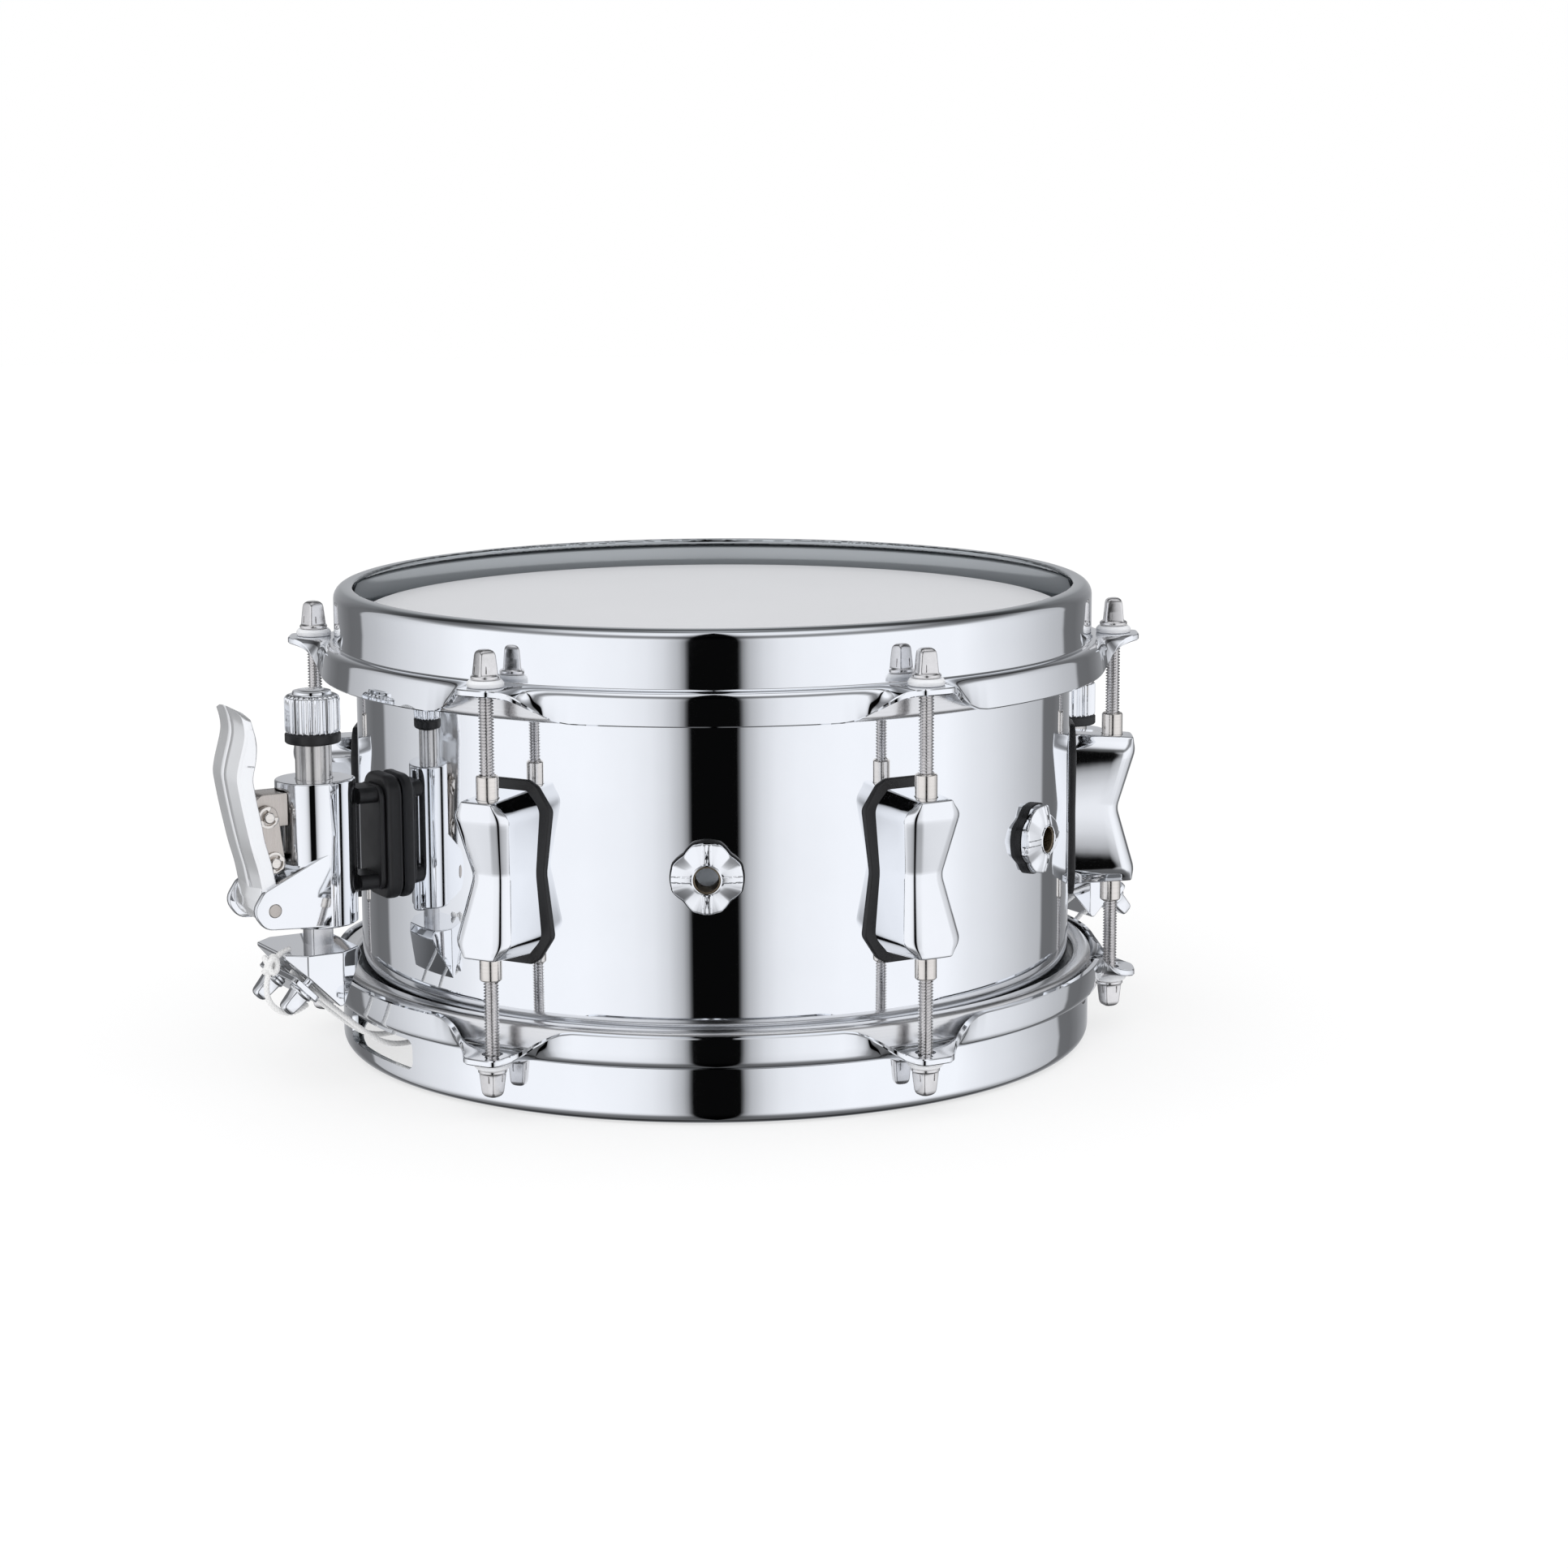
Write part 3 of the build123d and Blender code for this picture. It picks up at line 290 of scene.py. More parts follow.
MATS = {
    "chrome": chrome("chrome_mirror", (0.925, 0.942, 0.968), (0.018, 0.04)),
    # the inner tuple paints shade on the rims' inner walls: a darker base colour there
    "chrome_hoop": chrome("chrome_hoop", (0.925, 0.942, 0.968), (0.02, 0.05), inner=(0.1356, 0.1372, (0.50, 0.525, 0.54))),
    "chrome_cast": chrome("chrome_cast", (0.93, 0.943, 0.965), (0.025, 0.06), wave=0.00002),
    "chrome_lever": chrome("chrome_lever", (0.965, 0.972, 0.985), (0.10, 0.14), wave=0.00002),
    "film_coated": film_coated("head_coated"),
    "film_clear": film_clear("head_clear"),
    "aluminium": brushed("flesh_aluminium", (0.80, 0.80, 0.805), (0.16, 0.30), "round", 1500.0, 0.00001),
    "rubber": rubber("rubber_moulded"),
    "nickel": brushed("nickel_satin", (0.83, 0.79, 0.745), (0.12, 0.22), "z", 1500.0, 0.000006, 0.08),
    "nickel_dark": brushed("nickel_plate", (0.60, 0.555, 0.515), (0.22, 0.34), "x", 700.0, 0.00001, 0.14),
    "rod": brushed("rod_plated", (0.80, 0.785, 0.78), (0.14, 0.26), "any", 900.0, 0.00001, 0.10),
    "nylon": plastic("nylon_moulded", (0.90, 0.91, 0.935), 0.34, 0.25),
    "steel": brushed("steel_turned", (0.66, 0.645, 0.63), (0.16, 0.30), "x", 1500.0, 0.00001, 0.16),
    "steel_bar": brushed("steel_bar", (0.70, 0.70, 0.71), (0.16, 0.28), "x", 900.0, 0.00001, 0.12),
    "cord": braid("cord_braid", (0.90, 0.90, 0.90)),
    "snare": brushed("snare_wire", (0.72, 0.72, 0.72), (0.18, 0.30), "any", 1500.0, 0.00001, 0.10),
    "brass": brushed("brass_dull", (0.30, 0.245, 0.175), (0.35, 0.5), "any", 700.0, 0.00002, 0.25),
    "inside": brushed("shell_inside", (0.36, 0.33, 0.29), (0.3, 0.45), "round", 800.0, 0.00002, 0.2),
}
for _n in MATS["chrome_lever"].node_tree.nodes:
    if _n.type == "BSDF_PRINCIPLED":
        _n.inputs["Metallic"].default_value = 0.6


# ---------------------------------------------------------------------------
# Mesh tools: everything is drawn in millimetres in the row frame
# ---------------------------------------------------------------------------
def smooth(me, angle=32.0):
    me.polygons.foreach_set("use_smooth", np.ones(len(me.polygons), bool))
    me.set_sharp_from_angle(angle=math.radians(angle))
    me.update()


def raw(name, verts, faces, mats=(), uvs=None, fix=True):
    """A plain object from points in millimetres."""
    me = bpy.data.meshes.new(name)
    v = np.asarray(verts, float) * MM
    me.from_pydata(v.tolist(), [], [list(map(int, f)) for f in faces])
    if uvs is not None:
        layer = me.uv_layers.new(name="UVMap")
        flat = [uvs[i] for p in me.polygons for i in p.vertices]
        layer.data.foreach_set("uv", np.array(flat, np.float32).ravel())
    if fix:
        bm = bmesh.new()
        bm.from_mesh(me)
        bmesh.ops.recalc_face_normals(bm, faces=bm.faces)
        bm.to_mesh(me)
        bm.free()
    o = bpy.data.objects.new(name, me)
    scene.collection.objects.link(o)
    for mt in mats:
        me.materials.append(MATS[mt])
    return o


def bake(o):
    """Applies the object's modifiers."""
    bpy.context.view_layer.update()
    dg = bpy.context.evaluated_depsgraph_get()
    me = bpy.data.meshes.new_from_object(o.evaluated_get(dg), preserve_all_data_layers=True, depsgraph=dg)
    keep = list(o.data.materials)
    old = o.data
    o.modifiers.clear()
    o.data = me
    me.materials.clear()
    for mt in keep:
        me.materials.append(mt)
    me.name = o.name
    bpy.data.meshes.remove(old)
    return o


def bevel(o, width, seg=3, angle=25.0, profile=0.5):
    md = o.modifiers.new("bevel", "BEVEL")
    md.width = width * MM
    md.segments = seg
    md.limit_method = "ANGLE"
    md.angle_limit = math.radians(angle)
    md.profile = profile
    md.use_clamp_overlap = True
    md.miter_outer = "MITER_ARC"
    return bake(o)


def weigh(o, angle=40.0):
    """Flat faces stay flat and the bevels carry the turn."""
    smooth(o.data, angle)
    md = o.modifiers.new("normals", "WEIGHTED_NORMAL")
    md.mode = "FACE_AREA"
    md.weight = 50
    md.keep_sharp = True
    return bake(o)


def cut(o, *cutters, solver="EXACT"):
    for c in cutters:
        md = o.modifiers.new("cut", "BOOLEAN")
        md.operation = "DIFFERENCE"
        md.solver = solver
        md.object = c
    bake(o)
    for c in cutters:
        me = c.data
        bpy.data.objects.remove(c)
        bpy.data.meshes.remove(me)
    return o


def drop(*objs):
    for o in objs:
        me = o.data
        bpy.data.objects.remove(o)
        bpy.data.meshes.remove(me)


def join(name, objs, mats):
    """One object from several; each keeps its own materials by name."""
    bm = bmesh.new()
    uvs = any(o.data.uv_layers for o in objs)
    if uvs:
        bm.loops.layers.uv.new("UVMap")
    order = list(mats)
    for o in objs:
        names = [mt.name for mt in o.data.materials]
        remap = [order.index(next(k for k in order if MATS[k].name == n)) for n in names] or [0]
        n0 = len(bm.faces)
        bm.from_mesh(o.data)
        bm.faces.ensure_lookup_table()
        for f in bm.faces[n0:]:
            f.material_index = remap[min(f.material_index, len(remap) - 1)]
    me = bpy.data.meshes.new(name)
    bm.to_mesh(me)
    bm.free()
    for k in order:
        me.materials.append(MATS[k])
    drop(*objs)
    o = bpy.data.objects.new(name, me)
    scene.collection.objects.link(o)
    return o


def piece(o, body, nodes, angle=32.0, weighted=False, shade=True):
    if weighted:
        weigh(o, angle)
    elif shade:
        smooth(o.data, angle)
    if body:
        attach(o, body)
    if nodes:
        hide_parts(*nodes)
    return o


def place(o, origin, x, y, z):
    """Moves a mesh drawn at the origin so that its axes lie along x, y and z."""
    mt = Matrix.Identity(4)
    for i in range(3):
        mt[i][0], mt[i][1], mt[i][2], mt[i][3] = x[i], y[i], z[i], origin[i] * MM
    o.data.transform(mt)
    if mt.to_3x3().determinant() < 0:
        o.data.flip_normals()
    return o


def radial(deg, r=0.0, z=0.0):
    """Origin and axes with X round the drum, Y up and Z outwards."""
    a = math.radians(deg)
    return (
        (r * math.cos(a), r * math.sin(a), z),
        (-math.sin(a), math.cos(a), 0.0),
        (0.0, 0.0, 1.0),
        (math.cos(a), math.sin(a), 0.0),
    )


def copy_of(o, name):
    c = bpy.data.objects.new(name, o.data.copy())
    scene.collection.objects.link(c)
    return c


def round_poly(pts, radii, seg=6):
    """Rounds the corners of a closed outline with arcs."""
    out = []
    n = len(pts)
    for i in range(n):
        p0, p1, p2 = (np.array(pts[(i + k) % n], float) for k in (-1, 0, 1))
        r = radii[i] if hasattr(radii, "__len__") else radii
        a, b = p0 - p1, p2 - p1
        la, lb = np.linalg.norm(a), np.linalg.norm(b)
        if r <= 0 or la < 1e-6 or lb < 1e-6:
            out.append(tuple(p1))
            continue
        a, b = a / la, b / lb
        ang = math.acos(max(-1.0, min(1.0, float(a @ b))))
        if ang > math.pi - 0.02:
            out.append(tuple(p1))
            continue
        t = min(r / math.tan(ang / 2), 0.48 * la, 0.48 * lb)
        r2 = t * math.tan(ang / 2)
        c = p1 + (a + b) / np.linalg.norm(a + b) * (r2 / math.sin(ang / 2))
        s, e = p1 + a * t - c, p1 + b * t - c
        sweep = math.acos(max(-1.0, min(1.0, float(s @ e) / (r2 * r2))))
        k = max(1, int(math.ceil(seg * sweep / (math.pi / 2) - 1e-4)))
        for j in range(k + 1):
            f = j / k
            w0, w1 = math.sin((1 - f) * sweep) / math.sin(sweep), math.sin(f * sweep) / math.sin(sweep)
            out.append(tuple(c + s * w0 + e * w1))
    return out


def lathe(name, prof, n, centre=(0.0, 0.0), mats=(), closed=True, face_mat=None):
    """Turns a profile of (r, z) points about a vertical axis."""
    ang = np.arange(n) * TAU / n
    cs, sn = np.cos(ang), np.sin(ang)
    verts, rings = [], []
    for r, z in prof:
        if r < 1e-6:
            rings.append((len(verts), 1))
            verts.append((centre[0], centre[1], z))
        else:
            rings.append((len(verts), n))
            verts.extend(zip((centre[0] + r * cs).tolist(), (centre[1] + r * sn).tolist(), [z] * n))
    faces, fm = [], []
    m_ = len(prof)
    for i in range(m_ if closed else m_ - 1):
        (a, na), (b, nb) = rings[i], rings[(i + 1) % m_]
        if na == 1 and nb == 1:
            continue
        for j in range(n):
            k = (j + 1) % n
            if na == 1:
                faces.append((a, b + j, b + k))
            elif nb == 1:
                faces.append((a + j, b, a + k))
            else:
                faces.append((a + j, b + j, b + k, a + k))
            fm.append(face_mat(i) if face_mat else 0)
    o = raw(name, verts, faces, mats)
    if face_mat:
        o.data.polygons.foreach_set("material_index", fm)
    return o


def prism(name, outline, d0, d1, mats=()):
    """Outline in XY, extruded along Z from d0 to d1, drawn at the origin."""
    n = len(outline)
    verts = [(x, y, d0) for x, y in outline] + [(x, y, d1) for x, y in outline]
    faces = [tuple(range(n))[::-1], tuple(range(n, 2 * n))]
    faces += [(i, (i + 1) % n, n + (i + 1) % n, n + i) for i in range(n)]
    return raw(name, verts, faces, mats)


def on_axes(o, origin, x, y, z):
    return place(o, origin, x, y, z)


XZ = ((1, 0, 0), (0, 0, 1), (0, -1, 0))   # sketch X along +X, Y up, out along -Y
YZ = ((0, 1, 0), (0, 0, 1), (1, 0, 0))    # sketch X along +Y, Y up, out along +X


def circle(r, n=48, c=(0.0, 0.0)):
    return [(c[0] + r * math.cos(TAU * i / n), c[1] + r * math.sin(TAU * i / n)) for i in range(n)]


def rect(w, h, r, seg=5, c=(0.0, 0.0)):
    pts = [(c[0] + sx * w / 2, c[1] + sy * h / 2) for sx, sy in ((-1, -1), (1, -1), (1, 1), (-1, 1))]
    return round_poly(pts, r, seg)


def loft(name, rings, mats=(), cap=True, uvs=None):
    """Closed rings of equal count joined one to the next."""
    n = len(rings[0])
    assert all(len(r) == n for r in rings), name
    verts = [p for ring in rings for p in ring]
    faces = []
    for i in range(len(rings) - 1):
        for j in range(n):
            k = (j + 1) % n
            faces.append((i * n + j, i * n + k, (i + 1) * n + k, (i + 1) * n + j))
    if cap:
        faces.append(tuple(range(n))[::-1])
        faces.append(tuple(range((len(rings) - 1) * n, len(rings) * n)))
    return raw(name, verts, faces, mats)


def clip_solid(name, lo, hi, planes, mats=()):
    """A box cut down by planes (point, outward normal)."""
    verts = [(x, y, z) for x in (lo[0], hi[0]) for y in (lo[1], hi[1]) for z in (lo[2], hi[2])]
    faces = [(0, 1, 3, 2), (4, 6, 7, 5), (0, 4, 5, 1), (2, 3, 7, 6), (0, 2, 6, 4), (1, 5, 7, 3)]
    o = raw(name, verts, faces, mats)
    bm = bmesh.new()
    bm.from_mesh(o.data)
    for p, nrm in planes:
        res = bmesh.ops.bisect_plane(
            bm, geom=bm.verts[:] + bm.edges[:] + bm.faces[:], dist=1e-7,
            plane_co=Vector(p) * MM, plane_no=Vector(nrm).normalized(), clear_outer=True,
        )
        edges = [e for e in res["geom_cut"] if isinstance(e, bmesh.types.BMEdge)]
        if edges:
            bmesh.ops.edgeloop_fill(bm, edges=edges)
    bmesh.ops.dissolve_limit(bm, angle_limit=0.01, verts=bm.verts, edges=bm.edges)
    bmesh.ops.recalc_face_normals(bm, faces=bm.faces)
    bm.to_mesh(o.data)
    bm.free()
    return o


def smooth_line(pts, order=3, res=24):
    """Points along a smooth spline that has these as its control points."""
    cu = bpy.data.curves.new("line", "CURVE")
    cu.dimensions = "3D"
    sp = cu.splines.new("NURBS")
    sp.points.add(len(pts) - 1)
    for p, q in zip(sp.points, pts):
        p.co = (q[0], q[1], q[2], 1.0)
    sp.order_u = order
    sp.use_endpoint_u = True
    cu.resolution_u = res
    ob = bpy.data.objects.new("line", cu)
    scene.collection.objects.link(ob)
    bpy.context.view_layer.update()
    dg = bpy.context.evaluated_depsgraph_get()
    me = bpy.data.meshes.new_from_object(ob.evaluated_get(dg))
    out = np.array([v.co for v in me.vertices], float)
    bpy.data.objects.remove(ob)
    bpy.data.curves.remove(cu)
    bpy.data.meshes.remove(me)
    return out


def resample(line, step):
    seg = np.linalg.norm(np.diff(line, axis=0), axis=1)
    t = np.r_[0, np.cumsum(seg)]
    n = max(2, int(round(t[-1] / step)))
    s = np.linspace(0, t[-1], n + 1)
    return np.stack([np.interp(s, t, line[:, k]) for k in range(3)], 1), s


def tube(name, line, r, mats, around=14, step=0.35, bump=None, caps=True):
    """A tube along a line, in millimetres, with UVs (mm along, turns round)."""
    pts, s = resample(np.asarray(line, float), step)
    tan = np.gradient(pts, axis=0)
    tan /= np.linalg.norm(tan, axis=1)[:, None]
    ref = np.array((0.0, 0.0, 1.0)) if abs(tan[0][2]) < 0.9 else np.array((1.0, 0, 0))
    u = np.cross(tan[0], ref)
    u /= np.linalg.norm(u)
    verts, uvs = [], []
    for i in range(len(pts)):
        u = u - (u @ tan[i]) * tan[i]
        u /= np.linalg.norm(u)
        w = np.cross(tan[i], u)
        end = min(s[i], s[-1] - s[i])
        taper = math.sqrt(max(0.0, 1 - max(0.0, 1 - end / (0.5 * r)) ** 2)) if caps and end < 0.5 * r else 1.0
        for j in range(around):
            a = TAU * j / around
            rr = r * max(taper, 0.35)
            if bump:
                rr *= bump(s[i], a)
            verts.append(pts[i] + rr * (math.cos(a) * u + math.sin(a) * w))
            uvs.append((s[i], j / around))
    n, k = len(pts), around
    faces = []
    for i in range(n - 1):
        for j in range(k):
            faces.append((i * k + j, i * k + (j + 1) % k, (i + 1) * k + (j + 1) % k, (i + 1) * k + j))
    faces.append(tuple(range(k))[::-1])
    faces.append(tuple(range((n - 1) * k, n * k)))
    return raw(name, verts, faces, mats, uvs=uvs, fix=False)


# ---------------------------------------------------------------------------
# Sizes, as in the CAD source
# ---------------------------------------------------------------------------
HEIGHT = 168.0
LUG_ANGLES = [30 + 60 * i for i in range(6)]
VENT_ANGLES = [60, 120, 240, 300]
SHELL_R, SHELL_Z0, SHELL_Z1 = 130.4, 18.3, 158.0
ROD_CIRCLE, ROD_R = 146.5, 2.65
LUG_Z = 83.0
VZ = 84.0
AX = 158.6

# ---------------------------------------------------------------------------
# Shell, with a mirror outside and dull plating inside
# ---------------------------------------------------------------------------
edge = [
    (SHELL_R - 3.6, SHELL_Z0), (SHELL_R, SHELL_Z0 + 3.6), (SHELL_R, SHELL_Z0 + 30), (SHELL_R, SHELL_Z0 + 70), (SHELL_R, SHELL_Z1 - 30),
    (SHELL_R, SHELL_Z1 - 3.6), (SHELL_R - 3.6, SHELL_Z1),
    (SHELL_R - 4.6, SHELL_Z1 - 0.6), (SHELL_R - 4.6, SHELL_Z1 - 2.0), (SHELL_R - 1.0, SHELL_Z1 - 5.0),
    (SHELL_R - 1.0, SHELL_Z0 + 5.0), (SHELL_R - 4.6, SHELL_Z0 + 2.0), (SHELL_R - 4.6, SHELL_Z0 + 0.6),
]
edge = round_poly(edge, [0.4, 2.0, 0, 0, 0, 2.0, 0.4, 0.4, 0.6, 2.0, 2.0, 0.6, 0.4], 5)
n_in = next(i for i, p in enumerate(edge) if p[0] < SHELL_R - 4.0 and p[1] > 100)
shell = lathe("shell_body", edge, 720, mats=("chrome", "inside"), face_mat=lambda i: 1 if i >= n_in else 0)
cutters = []
for deg in VENT_ANGLES:
    c = prism("c", circle(5.4, 40), 118, 138)
    cutters.append(place(c, *radial(deg, 0, VZ)))
cut(shell, *cutters)
piece(shell, "root", ["shell"], 30)


# ---------------------------------------------------------------------------
# Hoops: one pressed section swept round, its skirt drawn out into six ears
# ---------------------------------------------------------------------------
T = 2.3
EAR_V = np.array([0.0, 3.0, 4.6, 5.6, 6.8, 8.0, 9.4, 11.0, 13.0, 16.0, 20.0, 24.0, 28.0, 32.0])
EAR_RF = np.array([155.6, 155.6, 155.5, 155.1, 154.2, 152.8, 150.9, 149.0, 147.2, 145.2, 143.4, 142.6, 142.25, 142.25])
EAR_ZF = np.array([0.0, 0.0, 0.0, 0.02, 0.12, 0.4, 1.0, 2.0, 3.5, 5.8, 8.2, 9.8, 10.4, 10.45])
EAR_D = np.degrees(np.arcsin(EAR_V / EAR_RF))


def smooth_table(xs, ys, width):
    """The table drawn finely, then softened so that no crease shows."""
    x = np.linspace(-xs[-1], xs[-1], 2401)
    y = np.interp(np.abs(x), xs, ys)
    k = max(3, int(width / (x[1] - x[0])))
    ker = np.hanning(k + 2)[1:-1]
    ker /= ker.sum()
    pad = np.r_[np.full(k, y[0]), y, np.full(k, y[-1])]
    return x, np.convolve(pad, ker, "same")[k:-k]


TX, T_RF = smooth_table(EAR_D, EAR_RF, 0.9)
_, T_ZF = smooth_table(EAR_D, EAR_ZF, 1.3)


def hoop_line(delta):
    """Centre line of the sheet at an angle from the nearest ear, lower hoop."""
    rf = float(np.interp(abs(delta), TX, T_RF))
    zf = float(np.interp(abs(delta), TX, T_ZF))
    pts = [(131.95, 1.15)]
    for i in range(8):
        a = math.pi / 2 * i / 7
        pts.append((133.6 + 3.25 * math.sin(a), 4.4 - 3.25 * math.cos(a)))
    pts.append((136.85, 11.0))
    for i in range(8):
        a = math.pi / 2 * i / 7
        pts.append((138.8 - 1.95 * math.cos(a), 19.2 + 1.95 * math.sin(a)))
    k = np.array((141.05, 21.15))
    f = np.array((rf, 21.15 + zf))
    u2 = (f - k) / np.linalg.norm(f - k)
    d = min(2.1, 0.45 * np.linalg.norm(f - k))
    a0, b0 = k - np.array((d, 0.0)), k + u2 * d
    for i in range(8):
        t = i / 7
        p = a0 * (1 - t) ** 2 + 2 * k * t * (1 - t) + b0 * t * t
        pts.append(tuple(p))
    for t in (0.35, 0.7, 0.9, 1.0):
        pts.append(tuple(b0 + (f - b0) * t))
    return np.array(pts)


def hoop_section(delta):
    line = hoop_line(delta)
    tan = np.gradient(line, axis=0)
    tan /= np.linalg.norm(tan, axis=1)[:, None]
    nrm = np.stack([-tan[:, 1], tan[:, 0]], 1)
    h = T / 2
    a, b = line + nrm * h, line - nrm * h
    end_t, end_n, f = tan[-1], nrm[-1], line[-1]
    c = 0.38
    a_end = f - end_t * c + end_n * h
    b_end = f - end_t * c - end_n * h
    tip = line[0]
    ring = []
    for k in range(1, 6):
        ph = math.pi * k / 6
        ring.append(tip - tan[0] * h * math.sin(ph) + nrm[0] * (-h * math.cos(ph)))
    sec = list(a[:-1]) + [a_end, f + end_n * (h - c), f - end_n * (h - c), b_end] + list(b[:-1][::-1]) + ring
    return np.array(sec)


def hoop_angles():
    out = []
    for e in LUG_ANGLES:
        out += list(e + np.arange(-13.4, 13.4 + 1e-9, 0.2))
        out += list(e + 13.4 + (33.2 / 54) * np.arange(1, 54))
    return np.array(out)


def make_hoop(name, flip):
    ths = hoop_angles()
    cache = {}
    rings = []
    for th in ths:
        d = (th - 30) % 60
        d = round(min(d, 60 - d), 4)
        if d not in cache:
            cache[d] = hoop_section(min(d, 13.4))
        sec = cache[d]
        a = math.radians(th)
        z = HEIGHT - sec[:, 1] if flip else sec[:, 1]
        rings.append(np.stack([sec[:, 0] * math.cos(a), sec[:, 0] * math.sin(a), z], 1))
    n, k = len(rings), len(rings[0])
    verts = np.concatenate(rings)
    i, j = np.meshgrid(np.arange(n), np.arange(k), indexing="ij")
    q = np.stack([i * k + j, i * k + (j + 1) % k, ((i + 1) % n) * k + (j + 1) % k, ((i + 1) % n) * k + j], -1).reshape(-1, 4)
    hoop = raw(name, verts, q, ("chrome_hoop",))
    z0 = HEIGHT - 26 if flip else 16
    drills = []
    for deg in LUG_ANGLES:
        x, y = ROD_CIRCLE * math.cos(math.radians(deg)), ROD_CIRCLE * math.sin(math.radians(deg))
        drills.append(prism("c", circle(3.6, 40, (x, y)), z0, z0 + 10))
    cutter = join("c", drills, ("chrome_hoop",))
    cut(hoop, cutter)
    return hoop


batter_hoop = make_hoop("hoop_top", True)
piece(batter_hoop, "root", ["batter_hoop"], 30)
snare_hoop = make_hoop("hoop_bottom", False)
gates = []
for deg in (0, 180):
    g = prism("c", rect(2 * 138.0 * math.sin(math.radians(11.0)), 10.8, 3.2, 6), 120, 139.5)
    gates.append(place(g, *radial(deg, 0, 12.4)))
cut(snare_hoop, *gates)
piece(snare_hoop, "root", ["snare_side_hoop"], 30)


# ---------------------------------------------------------------------------
# Heads and flesh hoops
# ---------------------------------------------------------------------------
def film_profile(flip):
    top = HEIGHT - SHELL_Z1 if flip else SHELL_Z0
    col = 21.6 if flip else 25.2
    outer = [(0.0, top - 0.28), (60, top - 0.28), (110, top - 0.28), (127.1, top - 0.28), (130.95, top + 3.25), (132.15, col - 0.6)]
    inner = [(132.15, col), (130.65, top + 3.6), (126.9, top - 0.03), (110, top - 0.03), (60, top - 0.03), (0.0, top - 0.03)]
    pts = outer + inner
    pts = [(r, HEIGHT - z if flip else z) for r, z in pts]
    return round_poly(pts, [0, 0, 0, 1.6, 1.6, 0, 0, 1.4, 1.4, 0, 0, 0], 5)


film = lathe("head_top", film_profile(True), 360, mats=("film_coated",), closed=False)
piece(film, "root", ["batter_head_film"], 40)
film2 = lathe("head_bottom", film_profile(False), 360, mats=("film_clear",), closed=False)
piece(film2, "root", ["snare_side_head_film"], 40)


def flesh(name, flip, node):
    z0 = 22.32
    pts = [(132.2, z0 + 1.4), (132.2, z0 + 10), (139.0, z0 + 10), (139.0, z0 + 1.4), (137.9, z0), (137.0, z0)]
    pts = [(r, HEIGHT - z if flip else z) for r, z in pts]
    prof = round_poly(pts, [0.6, 2.2, 2.2, 0.8, 0.8, 0.6], 6)
    o = lathe(name, prof, 360, mats=("aluminium",))
    return piece(o, "root", [node], 40)


flesh("flesh_hoop_top", True, "batter_flesh_hoop")
flesh("flesh_hoop_bottom", False, "snare_side_flesh_hoop")

# ---------------------------------------------------------------------------
# Lugs: waisted bodies with cut corners, rubber under them, swivel nuts
# ---------------------------------------------------------------------------
LUG = [  # height, base half width, ridge half width, ridge radius, nose half width, nose radius
    (-26.8, 5.9, 5.8, 152.2, 5.0, 153.9),
    (-21.8, 11.3, 11.2, 150.8, 6.1, 154.6),
    (0.0, 9.4, 7.2, 145.4, 2.7, 148.4),
    (21.8, 11.3, 11.2, 150.8, 6.1, 154.6),
    (26.8, 5.9, 5.8, 152.2, 5.0, 153.9),
]


def corner(p0, p1, p2, r, n):
    """Points of an arc that rounds the corner at p1, always n + 1 of them."""
    p0, p1, p2 = (np.array(p, float) for p in (p0, p1, p2))
    a, b = p0 - p1, p2 - p1
    la, lb = np.linalg.norm(a), np.linalg.norm(b)
    a, b = a / la, b / lb
    t = min(r, 0.42 * la, 0.42 * lb)
    q0, q2 = p1 + a * t, p1 + b * t
    return [tuple(q0 * (1 - f) ** 2 + 2 * p1 * f * (1 - f) + q2 * f * f) for f in (i / n for i in range(n + 1))]


def lug_ring(dz, inset=0.0):
    keys = np.array(LUG)
    f = 1.7                       # the sections run into each other over this height
    zs = dz + f * np.array((-1.0, -0.6, -0.2, 0.2, 0.6, 1.0))
    zs = np.clip(zs, -26.8, 26.8)
    b, g, gr, o, orr = (float(np.mean(np.interp(zs, keys[:, 0], keys[:, k]))) for k in range(1, 6))
    b, g, o = b - inset, g - inset, o - inset
    gr, orr = gr - inset * 0.7, orr - inset
    half = [(b, 132.4), (g, gr), (o, orr)]
    # the facet from ridge to nose is slightly crowned
    mid = ((g + o) / 2 + 0.42, (gr + orr) / 2 + 0.66)
    right = []
    right += [(b, 132.4)]
    right += [(b + (g - b) * t, 132.4 + (gr - 132.4) * t) for t in (0.25, 0.5, 0.75)]
    right += corner((b, 132.4), (g, gr), mid, 1.1, 5)
    right += corner((g, gr), mid, (o, orr), 2.2, 5)
    right += corner(mid, (o, orr), (0.0, orr + 0.12), 0.6, 4)
    right += [(o * 0.45, orr + 0.08), (0.0, orr + 0.12)]
    left = [(-x, y) for x, y in right[:-1]][::-1]
    ring = right + left
    grow = min(1.0, max(0.0, (abs(dz) - 19.0) / 6.0))
    return [(x, dz + math.copysign(1.3 * grow * (154.0 - y) / 22.0, dz), y) for x, y in ring]


